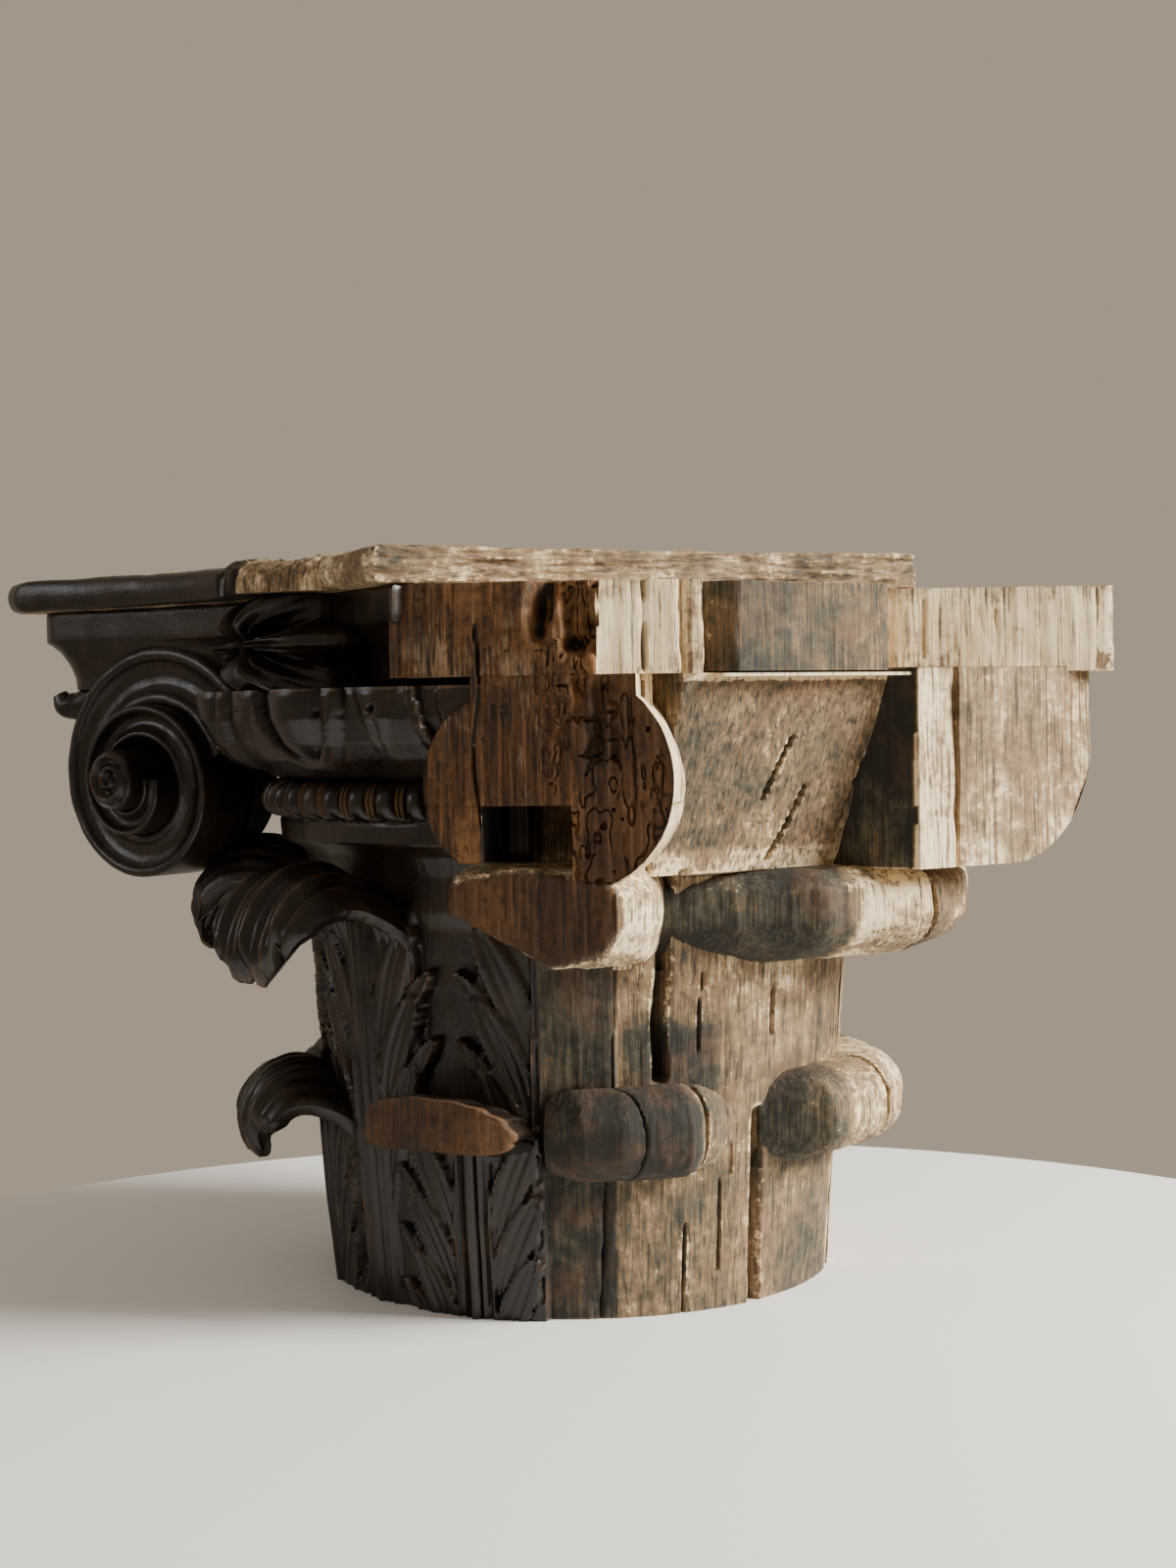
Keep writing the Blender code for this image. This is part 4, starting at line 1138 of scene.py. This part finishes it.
class CAPITAL_OT_leaves(bpy.types.Operator):
    """Curled leaf tips on the carved half and blocked-out leaves on the other"""
    bl_idname = "capital.leaves"
    bl_label = "Leaves"

    def execute(self, context):
        leaf_tip("tip_corner", 135, CORNER_LEAF, "carved_block", 1)
        leaf_tip("tip_upper", 184, UPPER_LEAF, "carved_block", 2, broken=1.0)
        leaf_tip("tip_upper_far", 86, UPPER_LEAF, "middle_block", 3, rows=44, across=57)
        leaf_tip("tip_lower_left", 161, LOWER_LEAF, "carved_block", 4)
        leaf_tip("tip_lower_far", 109, LOWER_LEAF, "carved_block", 5, rows=44, across=57)
        for mirror, tag, near, middle in sides():
            before, past = (None, None) if mirror else ((-FAR, SEAM_RIGHT[0]), (SEAM_LEFT[1], FAR))
            blank_stack(tag + "near_leaf", NEAR_LEAF, NEAR_LEVELS, near, 11, 420, 80, mirror=mirror,
                        rounding=3, saw=True, dust=lambda p: 0.75 - 1.1 * on_saw(p, 0.003),
                        bend=near_leaf_shape)
            cut_leaf(tag + "cut_leaf", mirror, near)
            # Painted shade on the blanks' left parts, painted light on their right parts.
            blank_stack(tag + "upper_blank", UPPER_BLANK, UPPER_LEVELS, middle, 12, 520, 84, mirror=mirror,
                        limits=before, dust=painted_side_light(-1.15, 0.75, 0.030))
            blank_stack(tag + "lower_blank_left", LOWER_LEFT_BLANK, LOWER_LEVELS, middle, 13, 420, 70, BAND,
                        mirror=mirror, rounding=3, limits=past, dust=painted_side_light(-1.5, 0.25, -0.040, 0.008),
                        cracks=((-0.030, 0.066, 0.110, 0.0014, 0.006),))
            blank_stack(tag + "lower_blank_right", LOWER_RIGHT_BLANK, LOWER_LEVELS, middle, 14, 420, 70, BAND,
                        mirror=mirror, rounding=3, limits=before, dust=painted_side_light(-0.7, 0.35, 0.046))
        end = (SEAM_RIGHT[1], FAR)
        blank_stack("upper_blank_end", UPPER_BLANK, UPPER_LEVELS, "outer_block", 12, 520, 84,
                    slot="tan_blank", limits=end, dust=-0.1)
        blank_stack("lower_blank_end", LOWER_RIGHT_BLANK, LOWER_LEVELS, "outer_block", 14, 420, 60, BAND,
                    slot="tan_blank", rounding=3, limits=end)
        # Painted shade: this end of the left lower blank is darkened as a whole.
        blank_stack("lower_blank_start", LOWER_LEFT_BLANK, LOWER_LEVELS, "carved_block", 13, 420, 60, BAND,
                    rounding=3, limits=(-FAR, SEAM_LEFT[0]), dust=-1.5)
        return {"FINISHED"}


class CAPITAL_OT_volutes(bpy.types.Operator):
    """Carved volutes of the carved corner, the sawn lobes and the blocked-out volutes"""
    bl_idname = "capital.volutes"
    bl_label = "Volutes"

    def execute(self, context):
        volute("volute", False, "carved_block")
        horn_hook()
        volute("volute_far", True, "carved_block")
        near_corner(False)
        volute_blank("volute_blank_inner", 0.0610, SEAM_RIGHT[0], "middle_block", "pale_blank", 17, 0.8,
                     rounded=False)
        volute_blank("volute_blank", SEAM_RIGHT[1], 0.174, "outer_block", "tan_blank", 18, 0.15)
        near_corner(True)
        volute_blank("far_volute_blank", 0.0610, 0.174, "outer_block", "tan_blank", 17, 0.2, mirror=True)
        return {"FINISHED"}


class CAPITAL_OT_abacus(bpy.types.Operator):
    """Carved and blocked-out abacus with its flower"""
    bl_idname = "capital.abacus"
    bl_label = "Abacus"

    def execute(self, context):
        carved_abacus()
        flower("flower", False, "carved_block")
        flower("flower_far", True, "middle_block")
        abacus_blanks()
        return {"FINISHED"}


class CAPITAL_OT_board(bpy.types.Operator):
    """Thin top board"""
    bl_idname = "capital.board"
    bl_label = "Board"

    def execute(self, context):
        top_board()
        board_flower()
        return {"FINISHED"}


class CAPITAL_OT_stage(bpy.types.Operator):
    """Floor, lamps and camera"""
    bl_idname = "capital.stage"
    bl_label = "Stage"

    def execute(self, context):
        floor()
        lamps()
        camera()
        return {"FINISHED"}


# ---- stage ---------------------------------------------------------------------------------------
VIEW_TURN = math.radians(-35.0)
BACK = Vector((math.sin(VIEW_TURN), -math.cos(VIEW_TURN), 0))
RIGHT = Vector((math.cos(VIEW_TURN), math.sin(VIEW_TURN), 0))
UP = Vector((0, 0, 1))


def floor():
    """A plain round floor."""
    centre = np.array(BACK) * 0.135
    a = np.linspace(0, TURN, 240, endpoint=False)
    ring = np.stack([centre[0] + 0.465 * np.cos(a), centre[1] + 0.465 * np.sin(a)], 1)
    rows = []
    for height, share in ((-0.020, 1.0), (-0.0015, 1.0), (0.0, 0.997)):
        rim = centre[:2] + (ring - centre[:2]) * share
        rows.append(np.concatenate([rim, np.full((240, 1), height)], 1))
    verts = np.concatenate(rows)
    faces = [list(range(480, 720))]
    for k in range(2):
        faces += [[k * 240 + i, k * 240 + (i + 1) % 240, (k + 1) * 240 + (i + 1) % 240, (k + 1) * 240 + i]
                  for i in range(240)]
    mesh = bpy.data.meshes.new("floor")
    mesh.from_pydata(verts.tolist(), [], faces)
    t = Tree("floor")
    t.shader.inputs["Base Color"].default_value = (*colours().floor, 1)
    t.shader.inputs["Roughness"].default_value = 0.6
    mesh.materials.append(t.material)
    obj = bpy.data.objects.new("floor", mesh)
    bpy.context.scene.collection.objects.link(obj)


def lamp(name, place, aim, size, power, colour):
    """A square soft lamp that looks at a point."""
    data = bpy.data.lights.new(name, "AREA")
    data.shape = "SQUARE"
    data.size = size
    data.energy = power
    data.color = colour
    obj = bpy.data.objects.new(name, data)
    obj.location = place
    obj.rotation_euler = (Vector(aim) - Vector(place)).to_track_quat("-Z", "Y").to_euler()
    bpy.context.scene.collection.objects.link(obj)


def lamps():
    """A large window-like key from the right, a faint fill from the left, and dim warm surroundings."""
    aim = (0, 0, 0.2)
    lamp("key", RIGHT * 2.1 + BACK * 0.45 + UP * 1.30, aim, 1.0, 186, (1.0, 0.965, 0.905))
    lamp("fill", RIGHT * -1.9 + BACK * 0.5 + UP * 0.9, aim, 0.5, 6, (0.94, 0.96, 1.0))
    world = bpy.data.worlds.new("surroundings")
    world.use_nodes = True
    shade = world.node_tree.nodes["Background"]
    shade.inputs["Color"].default_value = (0.48, 0.395, 0.300, 1)
    shade.inputs["Strength"].default_value = 0.86
    bpy.context.scene.world = world


def camera():
    """The camera stands 1.2 m from the axis at 0.28 m, looks slightly down and leans a little."""
    data = bpy.data.cameras.new("camera")
    data.lens = 54
    data.sensor_width = 36
    data.dof.use_dof = False
    obj = bpy.data.objects.new("camera", data)
    pitch = math.radians(1.74)
    ahead = -BACK * math.cos(pitch) - UP * math.sin(pitch)
    over = RIGHT.cross(ahead)
    turn = Matrix((RIGHT, over, -ahead)).transposed() @ Matrix.Rotation(math.radians(-1.0), 3, "Z")
    place = BACK * 1.2 + RIGHT * 0.004 + UP * 0.28
    obj.matrix_world = Matrix.Translation(place) @ turn.to_4x4()
    bpy.context.scene.collection.objects.link(obj)
    bpy.context.scene.camera = obj


class CAPITAL_PT_panel(bpy.types.Panel):
    """Lists the steps that build the capital"""
    bl_label = "Capital"
    bl_space_type = "VIEW_3D"
    bl_region_type = "UI"
    bl_category = "Capital"

    def draw(self, context):
        for step in STEPS:
            self.layout.operator(step.bl_idname)
        for group in (context.scene.capital_sizes, context.scene.capital_colours):
            for key in group.__annotations__:
                self.layout.prop(group, key)


STEPS = (CAPITAL_OT_core, CAPITAL_OT_leaves, CAPITAL_OT_volutes, CAPITAL_OT_abacus, CAPITAL_OT_board,
         CAPITAL_OT_stage)
CLASSES = (CapitalSizes, CapitalColours) + STEPS + (CAPITAL_PT_panel,)


def register():
    for cls in CLASSES:
        bpy.utils.register_class(cls)
    bpy.types.Scene.capital_sizes = PointerProperty(type=CapitalSizes)
    bpy.types.Scene.capital_colours = PointerProperty(type=CapitalColours)


def unregister():
    del bpy.types.Scene.capital_colours
    del bpy.types.Scene.capital_sizes
    for cls in reversed(CLASSES):
        bpy.utils.unregister_class(cls)


def plain(box):
    return [[float(v) for v in corner] for corner in box]


def main():
    register()
    bpy.ops.capital.core()
    bpy.ops.capital.leaves()
    bpy.ops.capital.volutes()
    bpy.ops.capital.abacus()
    bpy.ops.capital.board()
    bpy.ops.capital.stage()


if __name__ == "__main__":
    main()
